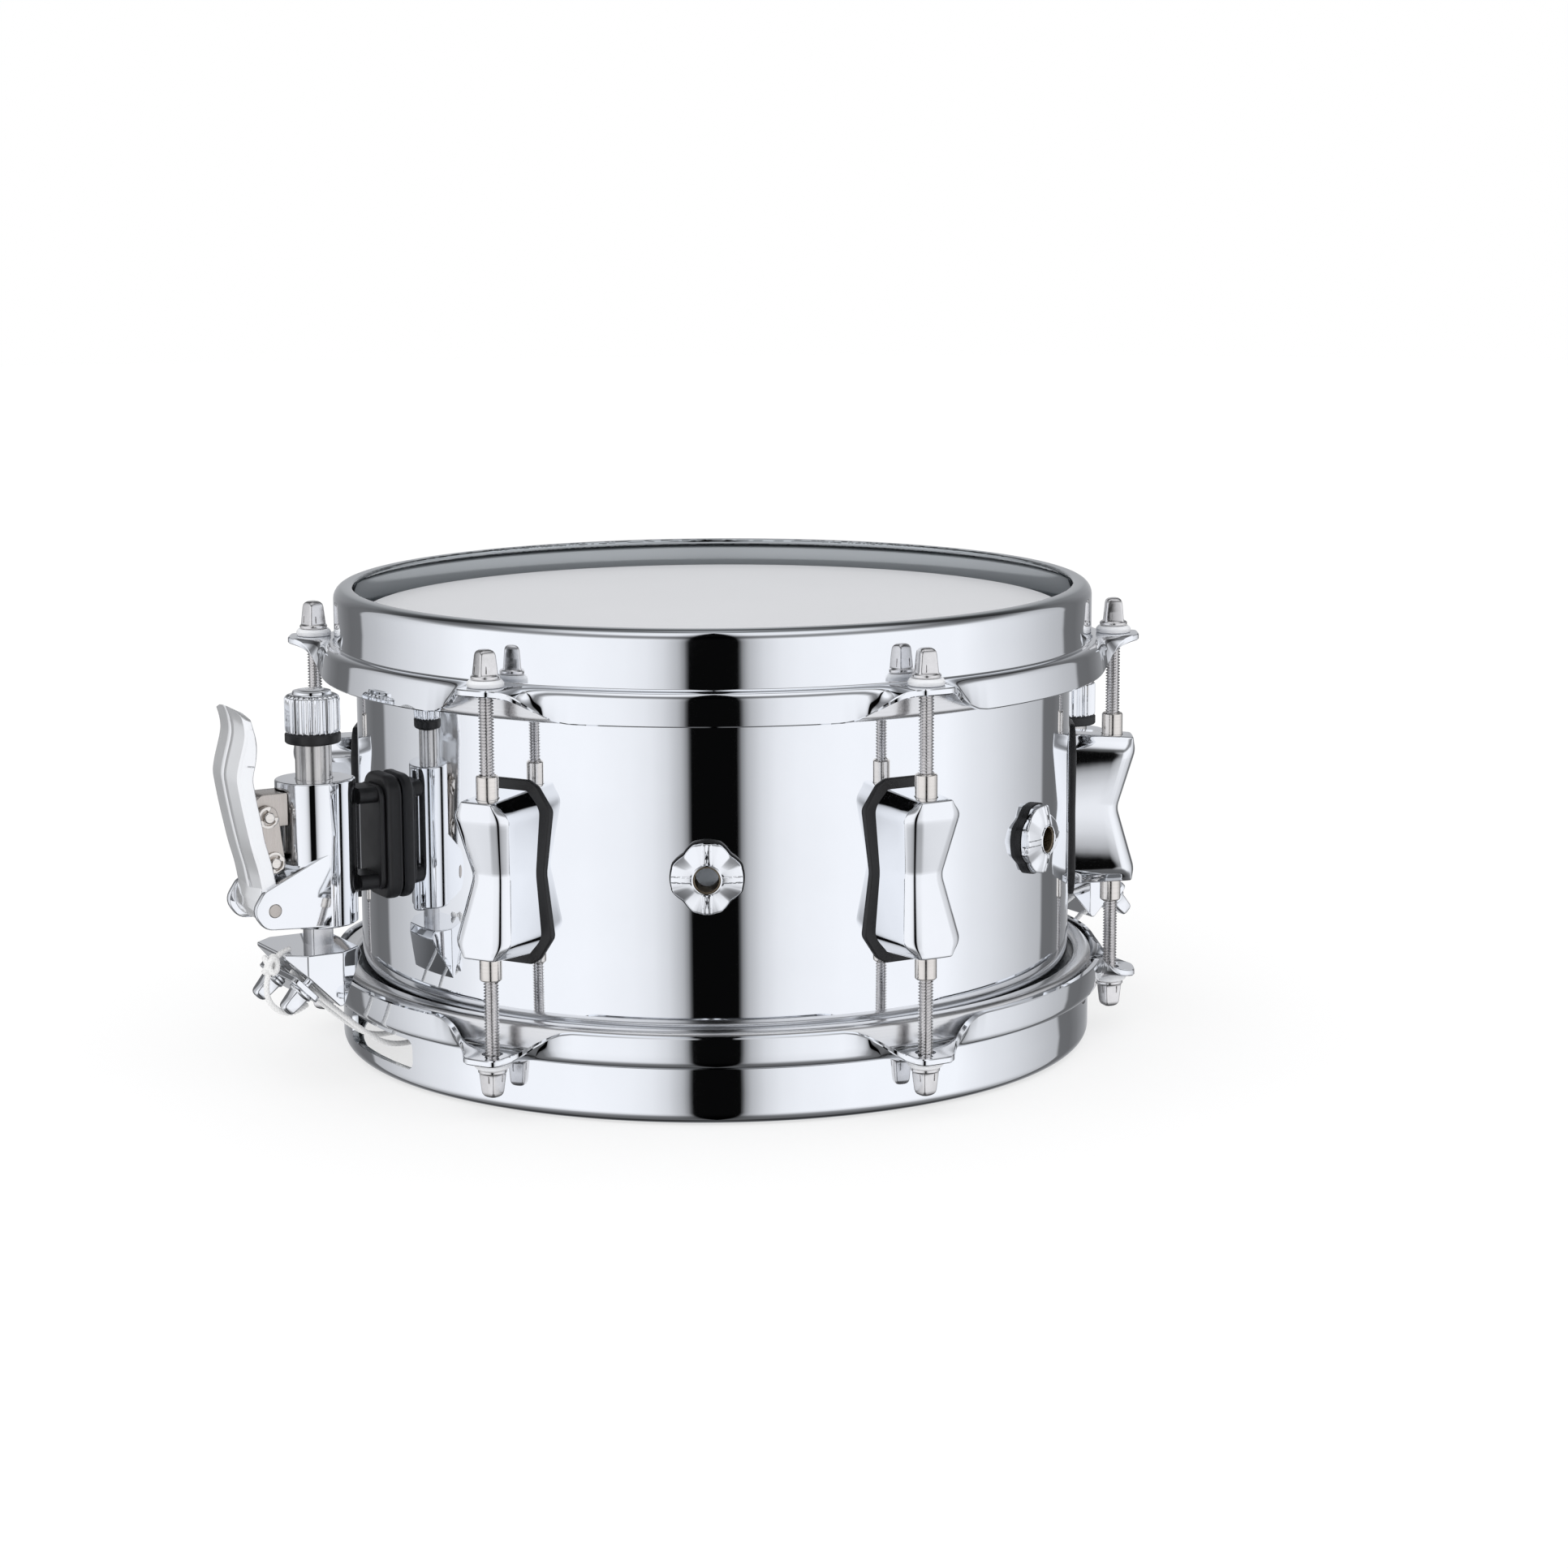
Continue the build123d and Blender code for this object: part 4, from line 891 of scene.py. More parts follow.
def lug_body():
    hs = [0, 0.5, 1.0, 1.6, 2.4, 4, 6, 8, 10, 12, 14, 16, 18, 19.4, 20.4, 21.0, 21.4, 21.8, 22.2, 22.8, 23.6, 24.6, 25.6, 26.2]
    lv = [(h, 0.0) for h in hs] + [(26.5, 0.08), (26.68, 0.24), (26.8, 0.5)]
    lv = [(-h, i) for h, i in lv[1:]][::-1] + lv
    lug = loft("lug", [lug_ring(h, i) for h, i in lv], ("chrome_cast",))
    bores = []
    for dz in (-31.5, 23.4):
        c = prism("c", circle(4.05, 32), dz, dz + 8.1)
        bores.append(place(c, (0, 0, ROD_CIRCLE), (1, 0, 0), (0, 0, -1), (0, 1, 0)))
    cut(lug, *bores)
    return lug


proto = lug_body()
parts = []
for deg in LUG_ANGLES:
    c = copy_of(proto, "lug_copy")
    parts.append(place(c, *radial(deg, 0, LUG_Z)))
drop(proto)
lugs = join("lug_bodies_cast", parts, ("chrome_cast",))
piece(lugs, "root", ["lug_bodies"], 34)

outline = [
    (-6.8, -31.8), (6.8, -31.8), (10.2, -29.8), (15.4, -21.8), (12.6, 0.0), (15.4, 21.8), (10.2, 29.8),
    (6.8, 31.8), (-6.8, 31.8), (-10.2, 29.8), (-15.4, 21.8), (-12.6, 0.0), (-15.4, -21.8), (-10.2, -29.8),
]
outline = round_poly(outline, [3, 3, 3, 3.5, 6, 3.5, 3, 3, 3, 3, 3.5, 6, 3.5, 3], 5)
proto = prism("g", outline, 129.0, 132.36, ("rubber",))
for v in proto.data.vertices:
    if v.co.z < 0.1295:
        v.co.z = math.sqrt(0.13042 ** 2 - v.co.x ** 2)
bevel(proto, 0.7, 3, 40)
parts = []
for deg in LUG_ANGLES:
    c = copy_of(proto, "c")
    parts.append(place(c, *radial(deg, 0, LUG_Z)))
drop(proto)
gask = join("lug_gaskets_rubber", parts, ("rubber",))
piece(gask, "root", ["lug_gaskets"], 40)
gask.visible_glossy = False

parts = []
for deg in LUG_ANGLES:
    x, y = ROD_CIRCLE * math.cos(math.radians(deg)), ROD_CIRCLE * math.sin(math.radians(deg))
    for s in (1, -1):
        z_end, z_in = LUG_Z + s * 35.2, LUG_Z + s * 22.0
        prof = [(2.75, z_in), (3.8, z_in), (3.8, LUG_Z + s * 27.6), (3.8, z_end - s * 0.5), (3.3, z_end), (2.95, z_end), (2.75, z_end - s * 0.4)]
        prof = round_poly(prof, [0, 0, 0, 0.5, 0.25, 0.15, 0], 4)
        parts.append(lathe("nut", prof, 40, (x, y), ("nickel",)))
nuts = join("swivel_nuts_turned", parts, ("nickel",))
piece(nuts, "root", ["swivel_nuts"], 35)

# screw heads inside the shell
parts = []
for deg in LUG_ANGLES:
    for dz in (-15, 15):
        prof = round_poly([(0.0, 0.0), (3.6, 0.0), (3.9, 0.6), (3.9, 2.8), (5.2, 2.8), (5.2, 4.2), (0.0, 4.2)], [0, 0.5, 0.4, 0.1, 0.3, 0.2, 0], 3)
        c = lathe("s", prof, 32, mats=("nickel",), closed=False)
        slot_cut = prism("c", rect(1.0, 5.6, 0.2, 2), -1, 1.1)
        cut(c, slot_cut)
        parts.append(place(c, *radial(deg, 125.1, LUG_Z + dz)))
for sx, zc in ((-1, 86.5), (1, 79.5)):
    for dz in (-12, 12):
        prof = round_poly([(0.0, 0.0), (3.6, 0.0), (3.9, 0.6), (3.9, 2.8), (5.2, 2.8), (5.2, 4.2), (0.0, 4.2)], [0, 0.5, 0.4, 0.1, 0.3, 0.2, 0], 3)
        c = lathe("s", prof, 32, mats=("nickel",), closed=False)
        parts.append(place(c, *radial(180 if sx < 0 else 0, 125.1, zc + dz)))
scr = join("mount_screw_heads", parts, ("nickel",))
piece(scr, "root", ["lug_screws", "strainer_mount_screws", "butt_mount_screws"], 35)


# ---------------------------------------------------------------------------
# Vents
# ---------------------------------------------------------------------------
VENT = round_poly(
    [
        (-4.6, 11.6), (4.6, 11.6), (7.7, 7.7), (11.6, 4.6), (11.6, -4.6), (7.7, -7.7),
        (4.6, -11.6), (-4.6, -11.6), (-7.7, -7.7), (-11.6, -4.6), (-11.6, 4.6), (-7.7, 7.7),
    ],
    [2.6, 2.6, 3.2] * 4, 6,
)
V_ANG = np.array([math.atan2(y, x) for x, y in VENT])
V_RAD = np.array([math.hypot(x, y) for x, y in VENT])
_o = np.argsort(V_ANG)
V_ANG, V_RAD = V_ANG[_o], V_RAD[_o]


def vent_outline(phi):
    """Edge radius: four blunt lobes, hollow between them."""
    a = (phi + math.pi) % TAU - math.pi
    return float(np.interp(a, np.r_[V_ANG - TAU, V_ANG, V_ANG + TAU], np.r_[V_RAD, V_RAD, V_RAD]))


def rosette():
    n = 288
    phis = [TAU * i / n for i in range(n)]
    edge_r = np.array([vent_outline(p) for p in phis])
    rings = []

    def height(r, phi, e):
        q = abs(((phi + math.pi / 4) % (math.pi / 2)) - math.pi / 4) / (math.pi / 4)
        t = (r - 5.0) / max(e - 5.0, 1e-6)
        lobe = 4.7 - 1.5 * t ** 1.6
        gap = 4.6 - 2.9 * t ** 1.1
        w0 = q * q * (3 - 2 * q)
        h = lobe * (1 - w0) + gap * w0
        x, y = r * math.cos(phi), r * math.sin(phi)
        for a, w, g in ((abs(x), 1.35, 0.20), (abs(y), 0.85, 0.0)):
            along = abs(y) if w > 1.2 else abs(x)
            if a < w + 0.25 and along > 4.0:
                s = min(1.0, max(0.0, (w + 0.25 - a) / 0.3))
                h += 0.34 * s
                if g and a < g + 0.12:
                    h -= 0.34 * min(1.0, (g + 0.12 - a) / 0.15)
        return h

    # bore, lip, dished face, rolled edge, skirt, back
    rows = []
    rows.append([(4.6, 0.2)] * n)
    rows.append([(4.6, 4.75)] * n)
    rows.append([(4.7, 5.05)] * n)
    rows.append([(4.92, 5.15)] * n)
    rows.append([(5.12, 5.02)] * n)
    rows.append([(5.22, 4.6)] * n)
    for t in np.linspace(0.05, 1.0, 17):
        rows.append([(5.2 + (e - 0.35 - 5.2) * t, height(5.2 + (e - 0.35 - 5.2) * t, p, e)) for p, e in zip(phis, edge_r)])
    rows.append([(e - 0.08, height(e - 0.3, p, e) - 0.22) for p, e in zip(phis, edge_r)])
    rows.append([(e, height(e - 0.3, p, e) - 0.55) for p, e in zip(phis, edge_r)])
    rows.append([(e, 0.25) for e in edge_r])
    rows.append([(e - 0.3, 0.0) for e in edge_r])
    rows.append([(6.0, 0.0)] * n)
    for row in rows:
        rings.append([(r * math.cos(p), r * math.sin(p), 131.9 + h) for (r, h), p in zip(row, phis)])
    verts = [p for ring in rings for p in ring]
    faces = []
    k = len(rings)
    for i in range(k):
        for j in range(n):
            a, b = i * n, ((i + 1) % k) * n
            faces.append((a + j, a + (j + 1) % n, b + (j + 1) % n, b + j))
    return raw("rosette", verts, faces, ("chrome_cast",))


proto = rosette()
parts, gparts, sparts = [], [], []
for deg in VENT_ANGLES:
    parts.append(place(copy_of(proto, "c"), *radial(deg, 0, VZ)))
    n = 96
    er = [vent_outline(TAU * i / n) + 0.55 for i in range(n)]
    ol = [(er[i] * math.cos(TAU * i / n), er[i] * math.sin(TAU * i / n)) for i in range(n)]
    g = prism("g", ol, 129.0, 131.87, ("rubber",))
    for v in g.data.vertices:
        if v.co.z < 0.1295:
            v.co.z = math.sqrt(0.13042 ** 2 - v.co.x ** 2)
    cut(g, prism("c", circle(5.8, 32), 120, 138))
    gparts.append(place(g, *radial(deg, 0, VZ)))
    prof = round_poly([(3.9, 127.0), (8.0, 127.4), (8.0, 128.9), (4.55, 129.0), (4.55, 136.4), (4.1, 136.4)], [0.2, 0.3, 0.3, 0.2, 0.2, 0.15], 4)
    sl = lathe("s", prof, 48, mats=("brass",))
    sparts.append(place(sl, *radial(deg, 0, VZ)))
drop(proto)
piece(join("vent_rosettes_cast", parts, ("chrome_cast",)), "root", ["vent_rosettes"], 34)
vg = join("vent_gaskets_rubber", gparts, ("rubber",))
piece(vg, "root", ["vent_gaskets"], 35)
piece(join("vent_sleeves_brass", sparts, ("brass",)), "root", ["vent_sleeves"], 35)

# ---------------------------------------------------------------------------
# Tension rods with cut threads, square heads and nylon washers
# ---------------------------------------------------------------------------
PITCH = 1.06


def rod_mesh():
    """A rod drawn with its head up: washer face at height 0, tip below."""
    length = 62.4 - 13.6 + 0.0
    around, per = 20, 6
    steps = int(length / PITCH * per)
    verts, faces = [], []
    for i in range(steps + 1):
        z = -length + i * length / steps
        edge_f = min(1.0, (z + length) / 1.6)
        for j in range(around):
            ph = (z / PITCH - j / around) % 1.0
            tri = 1 - abs(2 * ph - 1)
            d = 0.62 * max(0.0, min(1.0, (tri - 0.12) / 0.7))
            rr = (ROD_R - d) * (0.78 + 0.22 * edge_f) if edge_f < 1 else ROD_R - d
            if z > -1.2:
                rr = ROD_R - 0.15
            a = TAU * j / around
            verts.append((rr * math.cos(a), rr * math.sin(a), z))
    for i in range(steps):
        for j in range(around):
            k = (j + 1) % around
            faces.append((i * around + j, i * around + k, (i + 1) * around + k, (i + 1) * around + j))
    faces.append(tuple(range(around))[::-1])
    faces.append(tuple(range(steps * around, (steps + 1) * around)))
    shaft = raw("rod", verts, faces, ("rod",))
    prof = round_poly([(0.0, 0.0), (4.7, 0.0), (5.0, 0.5), (5.0, 1.15), (4.4, 1.7), (0.0, 1.7)], [0, 0.3, 0.3, 0.3, 0.3, 0], 4)
    flange = lathe("fl", prof, 48, mats=("rod",), closed=False)
    # square head: tapered, corners rounded, crown drawn in
    rings = []
    levels = [(1.5, 3.75, 1.5), (1.9, 3.50, 1.0), (2.6, 3.40, 0.8), (5.4, 3.16, 0.8), (8.0, 2.95, 0.85), (8.9, 2.78, 1.0), (9.5, 2.45, 1.2), (9.9, 1.9, 1.3), (10.08, 1.1, 0.9)]
    for z, hw, cr in levels:
        pts = rect(2 * hw, 2 * hw, cr, 5)
        rings.append([(x, y, z) for x, y in pts])
    head = loft("hd", rings, ("rod",))
    return shaft, flange, head


shaft, flange, head = rod_mesh()
slots_ = []
for a in range(4):
    c = prism("c", rect(0.55, 2.6, 0.2, 2), 0, 1.4)
    ang = a * math.pi / 2
    x, z = (math.cos(ang), math.sin(ang), 0), (-math.sin(ang), math.cos(ang), 0)
    place(c, (1.2 * x[0] + 2.9 * z[0], 1.2 * x[1] + 2.9 * z[1], 3.4), x, (0, 0, 1), z)
    slots_.append(c)
cut(head, *slots_)
for i, deg in enumerate(LUG_ANGLES):
    x, y = ROD_CIRCLE * math.cos(math.radians(deg)), ROD_CIRCLE * math.sin(math.radians(deg))
    for top in (True, False):
        name = "tension_rod_%s_%d" % ("top" if top else "bottom", i + 1)
        s = 1 if top else -1
        z_fl = (HEIGHT - 20.0 if top else 20.0) + s * 2.55
        spin = math.radians(deg + 17 * i + (8 if top else 31))
        ax = (math.cos(spin), math.sin(spin), 0)
        ay = (-s * math.sin(spin), s * math.cos(spin), 0)
        cp = [copy_of(o, "c") for o in (shaft, flange, head)]
        for c in cp:
            place(c, (x, y, z_fl), ax, ay, (0, 0, s))
        r = join(name + "_threaded", cp, ("rod",))
        piece(r, name, [name], 30)
drop(shaft, flange, head)

parts = []
for deg in LUG_ANGLES:
    x, y = ROD_CIRCLE * math.cos(math.radians(deg)), ROD_CIRCLE * math.sin(math.radians(deg))
    for z0 in (HEIGHT - 20.0, 17.5):
        prof = [(3.0, z0 + 0.02), (6.3, z0 + 0.02), (6.3, z0 + 2.48), (3.0, z0 + 2.48)]
        if z0 > 100:
            prof = [(3.0, z0 + 0.02), (6.3, z0 + 0.02), (6.3, z0 + 1.5), (5.5, z0 + 2.48), (3.0, z0 + 2.48)]
            prof = round_poly(prof, [0.2, 0.4, 0.5, 0.5, 0.2], 4)
        else:
            prof = [(3.0, z0 + 0.02), (5.5, z0 + 0.02), (6.3, z0 + 1.0), (6.3, z0 + 2.48), (3.0, z0 + 2.48)]
            prof = round_poly(prof, [0.2, 0.5, 0.5, 0.4, 0.2], 4)
        parts.append(lathe("w", prof, 48, (x, y), ("nylon",)))
piece(join("rod_washers_nylon", parts, ("nylon",)), "root", ["rod_washers"], 40)


# ---------------------------------------------------------------------------
# Strainer and butt end
# ---------------------------------------------------------------------------
def x_prism(name, sx, outline_yz, x0, x1, mats):
    """Outline in YZ, from x0 to x1 (distances from the axis), on side sx."""
    o = prism(name, outline_yz, min(x0, x1), max(x0, x1), mats)
    return place(o, (0, 0, 0), (0, -sx, 0), (0, 0, 1), (sx, 0, 0)) if sx < 0 else place(o, (0, 0, 0), *YZ)


def y_prism(name, outline_xz, y0, y1, mats):
    """Outline in XZ, extruded along Y."""
    o = prism(name, outline_xz, -y1, -y0, mats)
    return place(o, (0, 0, 0), *XZ)


def gasket_block(sx, zc, h, node):
    o = x_prism("gk", sx, rect(22.4, h, 6.5, 7, (0, zc)), 128.5, 135.8, ("rubber",))
    for v in o.data.vertices:
        if abs(v.co.x) < 0.1295:
            v.co.x = math.copysign(math.sqrt(0.13042 ** 2 - v.co.y ** 2), v.co.x)
    bevel(o, 1.8, 5, 50)
    o.name = node + "_rubber"
    return piece(o, "root", [node], 40, weighted=True)


gasket_block(-1, 86.5, 44.0, "strainer_gasket")
gasket_block(1, 79.5, 38.0, "butt_gasket")


def base_plate(sx, zc, h, node):
    parts = []
    # painted shade: the plate between the arms is given black rubber, a dark sheet that stands for the shaded window
    # between the arms
    pl = x_prism("b", sx, rect(18.6, h - 7.0, 4.5, 7, (0, zc)), 135.85, 138.0, ("rubber",))
    bevel(pl, 0.8, 3, 40)
    parts.append(pl)
    for zz in (zc - h / 2 + 6.6, zc + h / 2 - 6.6):
        ar = x_prism("b", sx, rect(15.0, 5.6, 2.6, 6, (0, zz)), 136.4, 144.6, ("chrome_cast",))
        parts.append(ar)
    o = join(node + "_arms_and_painted_shade_plate", parts, ("rubber", "chrome_cast"))
    return piece(o, "root", [node], 38, weighted=True)


base_plate(-1, 86.5, 44.0, "strainer_base")
base_plate(1, 79.5, 38.0, "butt_base")


def housing(sx, z0, z1, node, strainer):
    cx = sx * AX
    parts = []
    prof = round_poly([(6.43, z0), (13.7, z0), (13.7, z1), (6.43, z1)], [0.4, 0.7, 0.7, 0.5], 4)
    tube_ = lathe("h", prof, 128, (cx, 0), ("chrome_cast",))
    cutters = []
    if strainer:
        c = y_prism("c", [(-190, 56), (-168.6, 56), (-168.6, 80.4), (-190, 80.4)], -11.2, 11.2, ())
        cutters.append(c)
        c = x_prism("c", -1, rect(12.4, 25.0, 2.0, 4, (0, 93.9)), 160.0, 176.0, ())
        cutters.append(c)
    flat = x_prism("c", sx, rect(40, z1 - z0 + 10, 0.1, 1, (0, (z0 + z1) / 2)), 133.0, 144.6, ())
    cutters.append(flat)
    cut(tube_, *cutters)
    parts.append(tube_)
    rail = round_poly([(0.0, z0 - 1.0), (4.1, z0 - 1.0), (4.1, z1 - 0.4), (0.0, z1 - 0.4)], [0, 0.9, 0.9, 0], 4)
    parts.append(lathe("r", rail, 64, (sx * 147.6, 0), ("chrome_cast",), closed=False))
    # web between the rail and the round body
    web = x_prism("w", sx, rect(6.4, z1 - z0 - 2.4, 1.4, 4, (0, (z0 + z1) / 2 - 0.4)), 144.7, 150.6, ("chrome_cast",))
    bevel(web, 0.8, 3, 40)
    parts.append(web)
    if strainer:
        for y0, y1 in ((-13.7, -11.2), (11.2, 13.7)):
            ol = round_poly(
                [(-158.6, 84.8), (-162.4, 83.4), (-183.6, 73.4), (-188.0, 66.6), (-183.4, 60.0), (-158.6, 58.6)],
                [0.5, 9.0, 4.5, 5.2, 5.6, 0.5], 6,
            )
            ck = y_prism("k", ol, y0, y1, ("chrome_cast",))
            bevel(ck, 0.55, 3, 40)
            parts.append(ck)
    o = join(node + "_cast", parts, ("chrome_cast",))
    return piece(o, "root", [node], 36)


housing(-1, 58.0, 109.0, "strainer_housing", True)
housing(1, 60.0, 98.6, "butt_housing", False)


def cylinder(sx, z0, z1, node, body, strainer):
    cx = sx * AX
    prof = round_poly([(3.05, z0), (6.35, z0), (6.35, z1), (3.05, z1)], [0.3, 0.5, 0.45, 0.3], 3)
    parts = [lathe("c", prof, 96, (cx, 0), ("steel", "nickel_dark"))]
    if strainer:
        ol = round_poly(
            [(-164.6, 94.3), (-180.2, 94.3), (-183.4, 97.0), (-183.4, 103.2), (-180.6, 105.8), (-164.6, 105.8)],
            [0.3, 2.4, 2.4, 3.0, 3.0, 0.3], 6,
        )
        arm = y_prism("a", ol, -5.6, 5.6, ("nickel_dark",))
        bevel(arm, 0.7, 3, 40)
        parts.append(arm)
    o = join(node + "_turned", parts, ("steel", "nickel_dark") if strainer else ("steel",) if False else ("steel", "nickel_dark"))
    return piece(o, body, [node], 36)


cylinder(-1, 70.0, 121.4, "strainer_cylinder", "carriage", True)
cylinder(1, 66.0, 101.0, "butt_cylinder", "root", False)


def knob(sx, z0, z1, node, body):
    cx = sx * AX
    flutes, per = 28, 10
    n = flutes * per
    rows = [  # base radius, z, flute depth
        (8.6, z0, 0.0), (9.0, z0 + 0.05, 0.2), (9.35, z0 + 0.35, 0.5), (9.55, z0 + 0.8, 0.62), (9.6, z0 + 1.6, 0.66),
        (9.6, z1 - 3.2, 0.66), (9.5, z1 - 2.75, 0.66), (9.2, z1 - 2.4, 0.66), (8.85, z1 - 2.1, 0.62), (8.3, z1 - 1.8, 0.5),
        (7.7, z1 - 1.62, 0.3), (7.2, z1 - 1.58, 0.1), (6.9, z1 - 1.55, 0.0), (6.75, z1 - 1.35, 0.0), (6.7, z1 - 0.75, 0.0),
        (6.5, z1 - 0.45, 0.0), (6.1, z1 - 0.35, 0.0), (4.9, z1 - 0.3, 0.0), (4.6, z1 - 0.12, 0.0), (4.2, z1, 0.0), (1.4, z1, 0.0),
    ]
    verts, faces = [], []
    for r, z, d in rows:
        for j in range(n):
            ph = (j % per) / per
            g = (0.5 - 0.5 * math.cos(TAU * ph)) ** 0.8
            rr = r - d * g
            a = TAU * j / n
            verts.append((cx + rr * math.cos(a), rr * math.sin(a), z))
    for i in range(len(rows) - 1):
        for j in range(n):
            k = (j + 1) % n
            faces.append((i * n + j, i * n + k, (i + 1) * n + k, (i + 1) * n + j))
    faces.append(tuple(range(n))[::-1])
    faces.append(tuple(range((len(rows) - 1) * n, len(rows) * n)))
    cap = raw("k", verts, faces, ("chrome_cast",))
    prof = round_poly([(0.0, z0 - 30), (1.5, z0 - 30), (2.0, z0 - 29.2), (2.0, z0 + 0.5), (0.0, z0 + 0.5)], [0, 0.2, 0.3, 0, 0], 3)
    screw = lathe("s", prof, 32, (cx, 0), ("steel",), closed=False)
    o = join(node + "_fluted", [cap, screw], ("chrome_cast", "steel"))
    piece(o, body, [node], 34)
    zr0, zr1 = z0 - 3.6, z0 - 0.05
    prof = round_poly([(2.1, zr0), (9.2, zr0), (9.7, zr0 + 0.5), (9.7, zr1 - 0.4), (9.2, zr1), (2.1, zr1)], [0.1, 0.4, 0.4, 0.3, 0.3, 0.1], 4)
    ring = lathe(node + "_ring_rubber", prof, 96, (cx, 0), ("rubber",))
    piece(ring, body, [node + "_ring"], 36)


knob(-1, 125.2, 140.2, "strainer_knob", "strainer_knob")
knob(1, 104.7, 119.7, "butt_knob", "butt_knob")

# throw lever: an S-shaped handle with a soft crease down its outer face
OUT = [(-183.5, 71.6), (-184.2, 75.6), (-185.2, 80.6), (-187.2, 88.0), (-189.0, 96.0), (-190.4, 103.0), (-191.5, 109.4), (-191.9, 113.4), (-191.2, 117.6), (-190.0, 122.0), (-189.0, 125.8), (-188.6, 129.0), (-189.2, 133.2), (-190.6, 137.2)]
INN = [(-180.6, 72.0), (-181.2, 76.6), (-182.2, 81.4), (-184.3, 90.0), (-185.6, 96.8), (-187.0, 104.0), (-187.9, 109.4), (-188.2, 113.0), (-187.4, 117.0), (-186.4, 121.0), (-185.5, 124.8), (-185.2, 128.0), (-185.6, 131.6), (-186.4, 135.0)]


def catmull(pts, n):
    p = np.array(pts, float)
    p = np.vstack([2 * p[0] - p[1], p, 2 * p[-1] - p[-2]])
    out = []
    m_ = len(pts) - 1
    for i in range(n):
        t = i / (n - 1) * m_
        k = min(int(t), m_ - 1)
        f = t - k
        a, b, c, d = p[k], p[k + 1], p[k + 2], p[k + 3]
        out.append(0.5 * (2 * b + (c - a) * f + (2 * a - 5 * b + 4 * c - d) * f * f + (3 * b - a - 3 * c + d) * f ** 3))
    return np.array(out)


def lever():
    half = 12.0
    ys = (-12.0, -11.85, -11.2, -10.9, -10.7, -6.0, -3.0, -0.5, 0.0, 0.5, 3.0, 6.0, 10.7, 10.9, 11.2, 11.85, 12.0)
    n = 56
    o_, i_ = catmull(OUT, 400), catmull(INN, 400)

    def at(line, t):
        q = min(max(t, 0.0), 1.0) * (len(line) - 1)
        k = min(int(q), len(line) - 2)
        return line[k] + (line[k + 1] - line[k]) * (q - k)

    rings = []
    for j in range(n):
        t = j / (n - 1)
        sec = []
        for side in (0, 1):
            for y in (ys if side == 0 else ys[::-1]):
                u = abs(y) / half
                # the tip is arched and its corners are rounded off
                tt = t * (1.0 - 0.030 * u ** 2 - 0.030 * u ** 10)
                a, b = at(o_, tt), at(i_, tt)
                w = b - a
                th = np.linalg.norm(w)
                w /= th
                # two flat halves meet in a crease, and the edge is rounded
                d = 0.30 * (y == 0.0) + 0.60 * u + 1.0 * max(0.0, u - 0.94) / 0.06
                if side == 1:
                    w0 = min(1.0, (1.0 - t) / 0.35)
                    wall = 0.3 + 2.5 * w0 * w0 * (3 - 2 * w0)
                    d = th + wall * (u > 0.9) - 0.5 * max(0.0, u - 0.95) / 0.05
                sec.append((a[0] + w[0] * d, y, a[1] + w[1] * d))
        rings.append(sec)
    h = loft("lv", rings, ("chrome_lever",))
    bevel(h, 0.4, 2, 50)
    neck = round_poly(
        [(-182.6, 80.0), (-183.4, 74.5), (-184.6, 69.5), (-184.6, 65.5), (-182.6, 62.2), (-179.8, 61.1), (-176.0, 62.6), (-174.4, 66.6), (-176.2, 70.8), (-179.0, 73.5), (-181.0, 80.0)],
        [0.6, 3, 3, 3, 3, 3, 3, 3, 3, 3, 0.6], 5,
    )
    nk = y_prism("n", neck, -10.6, 10.6, ("chrome_lever",))
    bevel(nk, 0.5, 3, 40)
    cuts = []
    for y0, y1 in ((-10.0, -5.7), (5.7, 10.0)):
        cuts.append(y_prism("c", [(-182.7, 75.4), (-170, 75.4), (-170, 86), (-183.2, 86)], y0, y1, ()))
    both = []
    for ob in (h, nk):
        cc = [copy_of(c, "c") for c in cuts]
        cut(ob, *cc)
        both.append(ob)
    drop(*cuts)
    o = join("throw_lever_handle", both, ("chrome_lever",))
    return piece(o, "throw_lever", ["throw_lever"], 34)


lever()

# pivot pin, link plates, pins and clips
parts = []
for p, half, r, body in (((-179.8, 66.6), 14.0, 2.5, "root"),):
    prof = round_poly([(0.0, -half), (r, -half), (r, half), (0.0, half)], [0, 0.5, 0.5, 0], 4)
    c = lathe("p", prof, 48, mats=("nickel_dark",), closed=False)
    c.name = "lever_pin_turned"
    place(c, (p[0], 0, p[1]), (1, 0, 0), (0, 0, 1), (0, -1, 0))
    piece(c, "root", ["lever_pin"], 36)
LINK_A, LINK_B = (-179.2, 98.3), (-177.3, 82.2)
plates = []
for y0 in (-7.9, 6.1):
    ol = round_poly(
        [(-182.6, 95.6), (-183.2, 98.3), (-182.2, 101.2), (-179.2, 102.4), (-176.2, 101.2), (-175.2, 98.3), (-173.4, 84.0), (-173.7, 80.6), (-176.0, 78.5), (-178.6, 78.6), (-180.4, 80.2), (-181.0, 83.0)],
        2.2, 4,
    )
    c = y_prism("l", ol, y0, y0 + 1.8, ("nickel_dark",))
    bevel(c, 0.35, 2, 40)
    plates.append(c)
piece(join("link_plates_pressed", plates, ("nickel_dark",)), "link", ["link_plates"], 36, weighted=True)
pins = []
for p in (LINK_A, LINK_B):
    prof = round_poly([(0.0, -9.9), (1.6, -9.9), (2.0, -9.5), (2.0, 9.5), (1.6, 9.9), (0.0, 9.9)], [0, 0.2, 0.3, 0.3, 0.2, 0], 3)
    c = lathe("p", prof, 32, mats=("nickel",), closed=False)
    pins.append(place(c, (p[0], 0, p[1]), (1, 0, 0), (0, 0, 1), (0, -1, 0)))
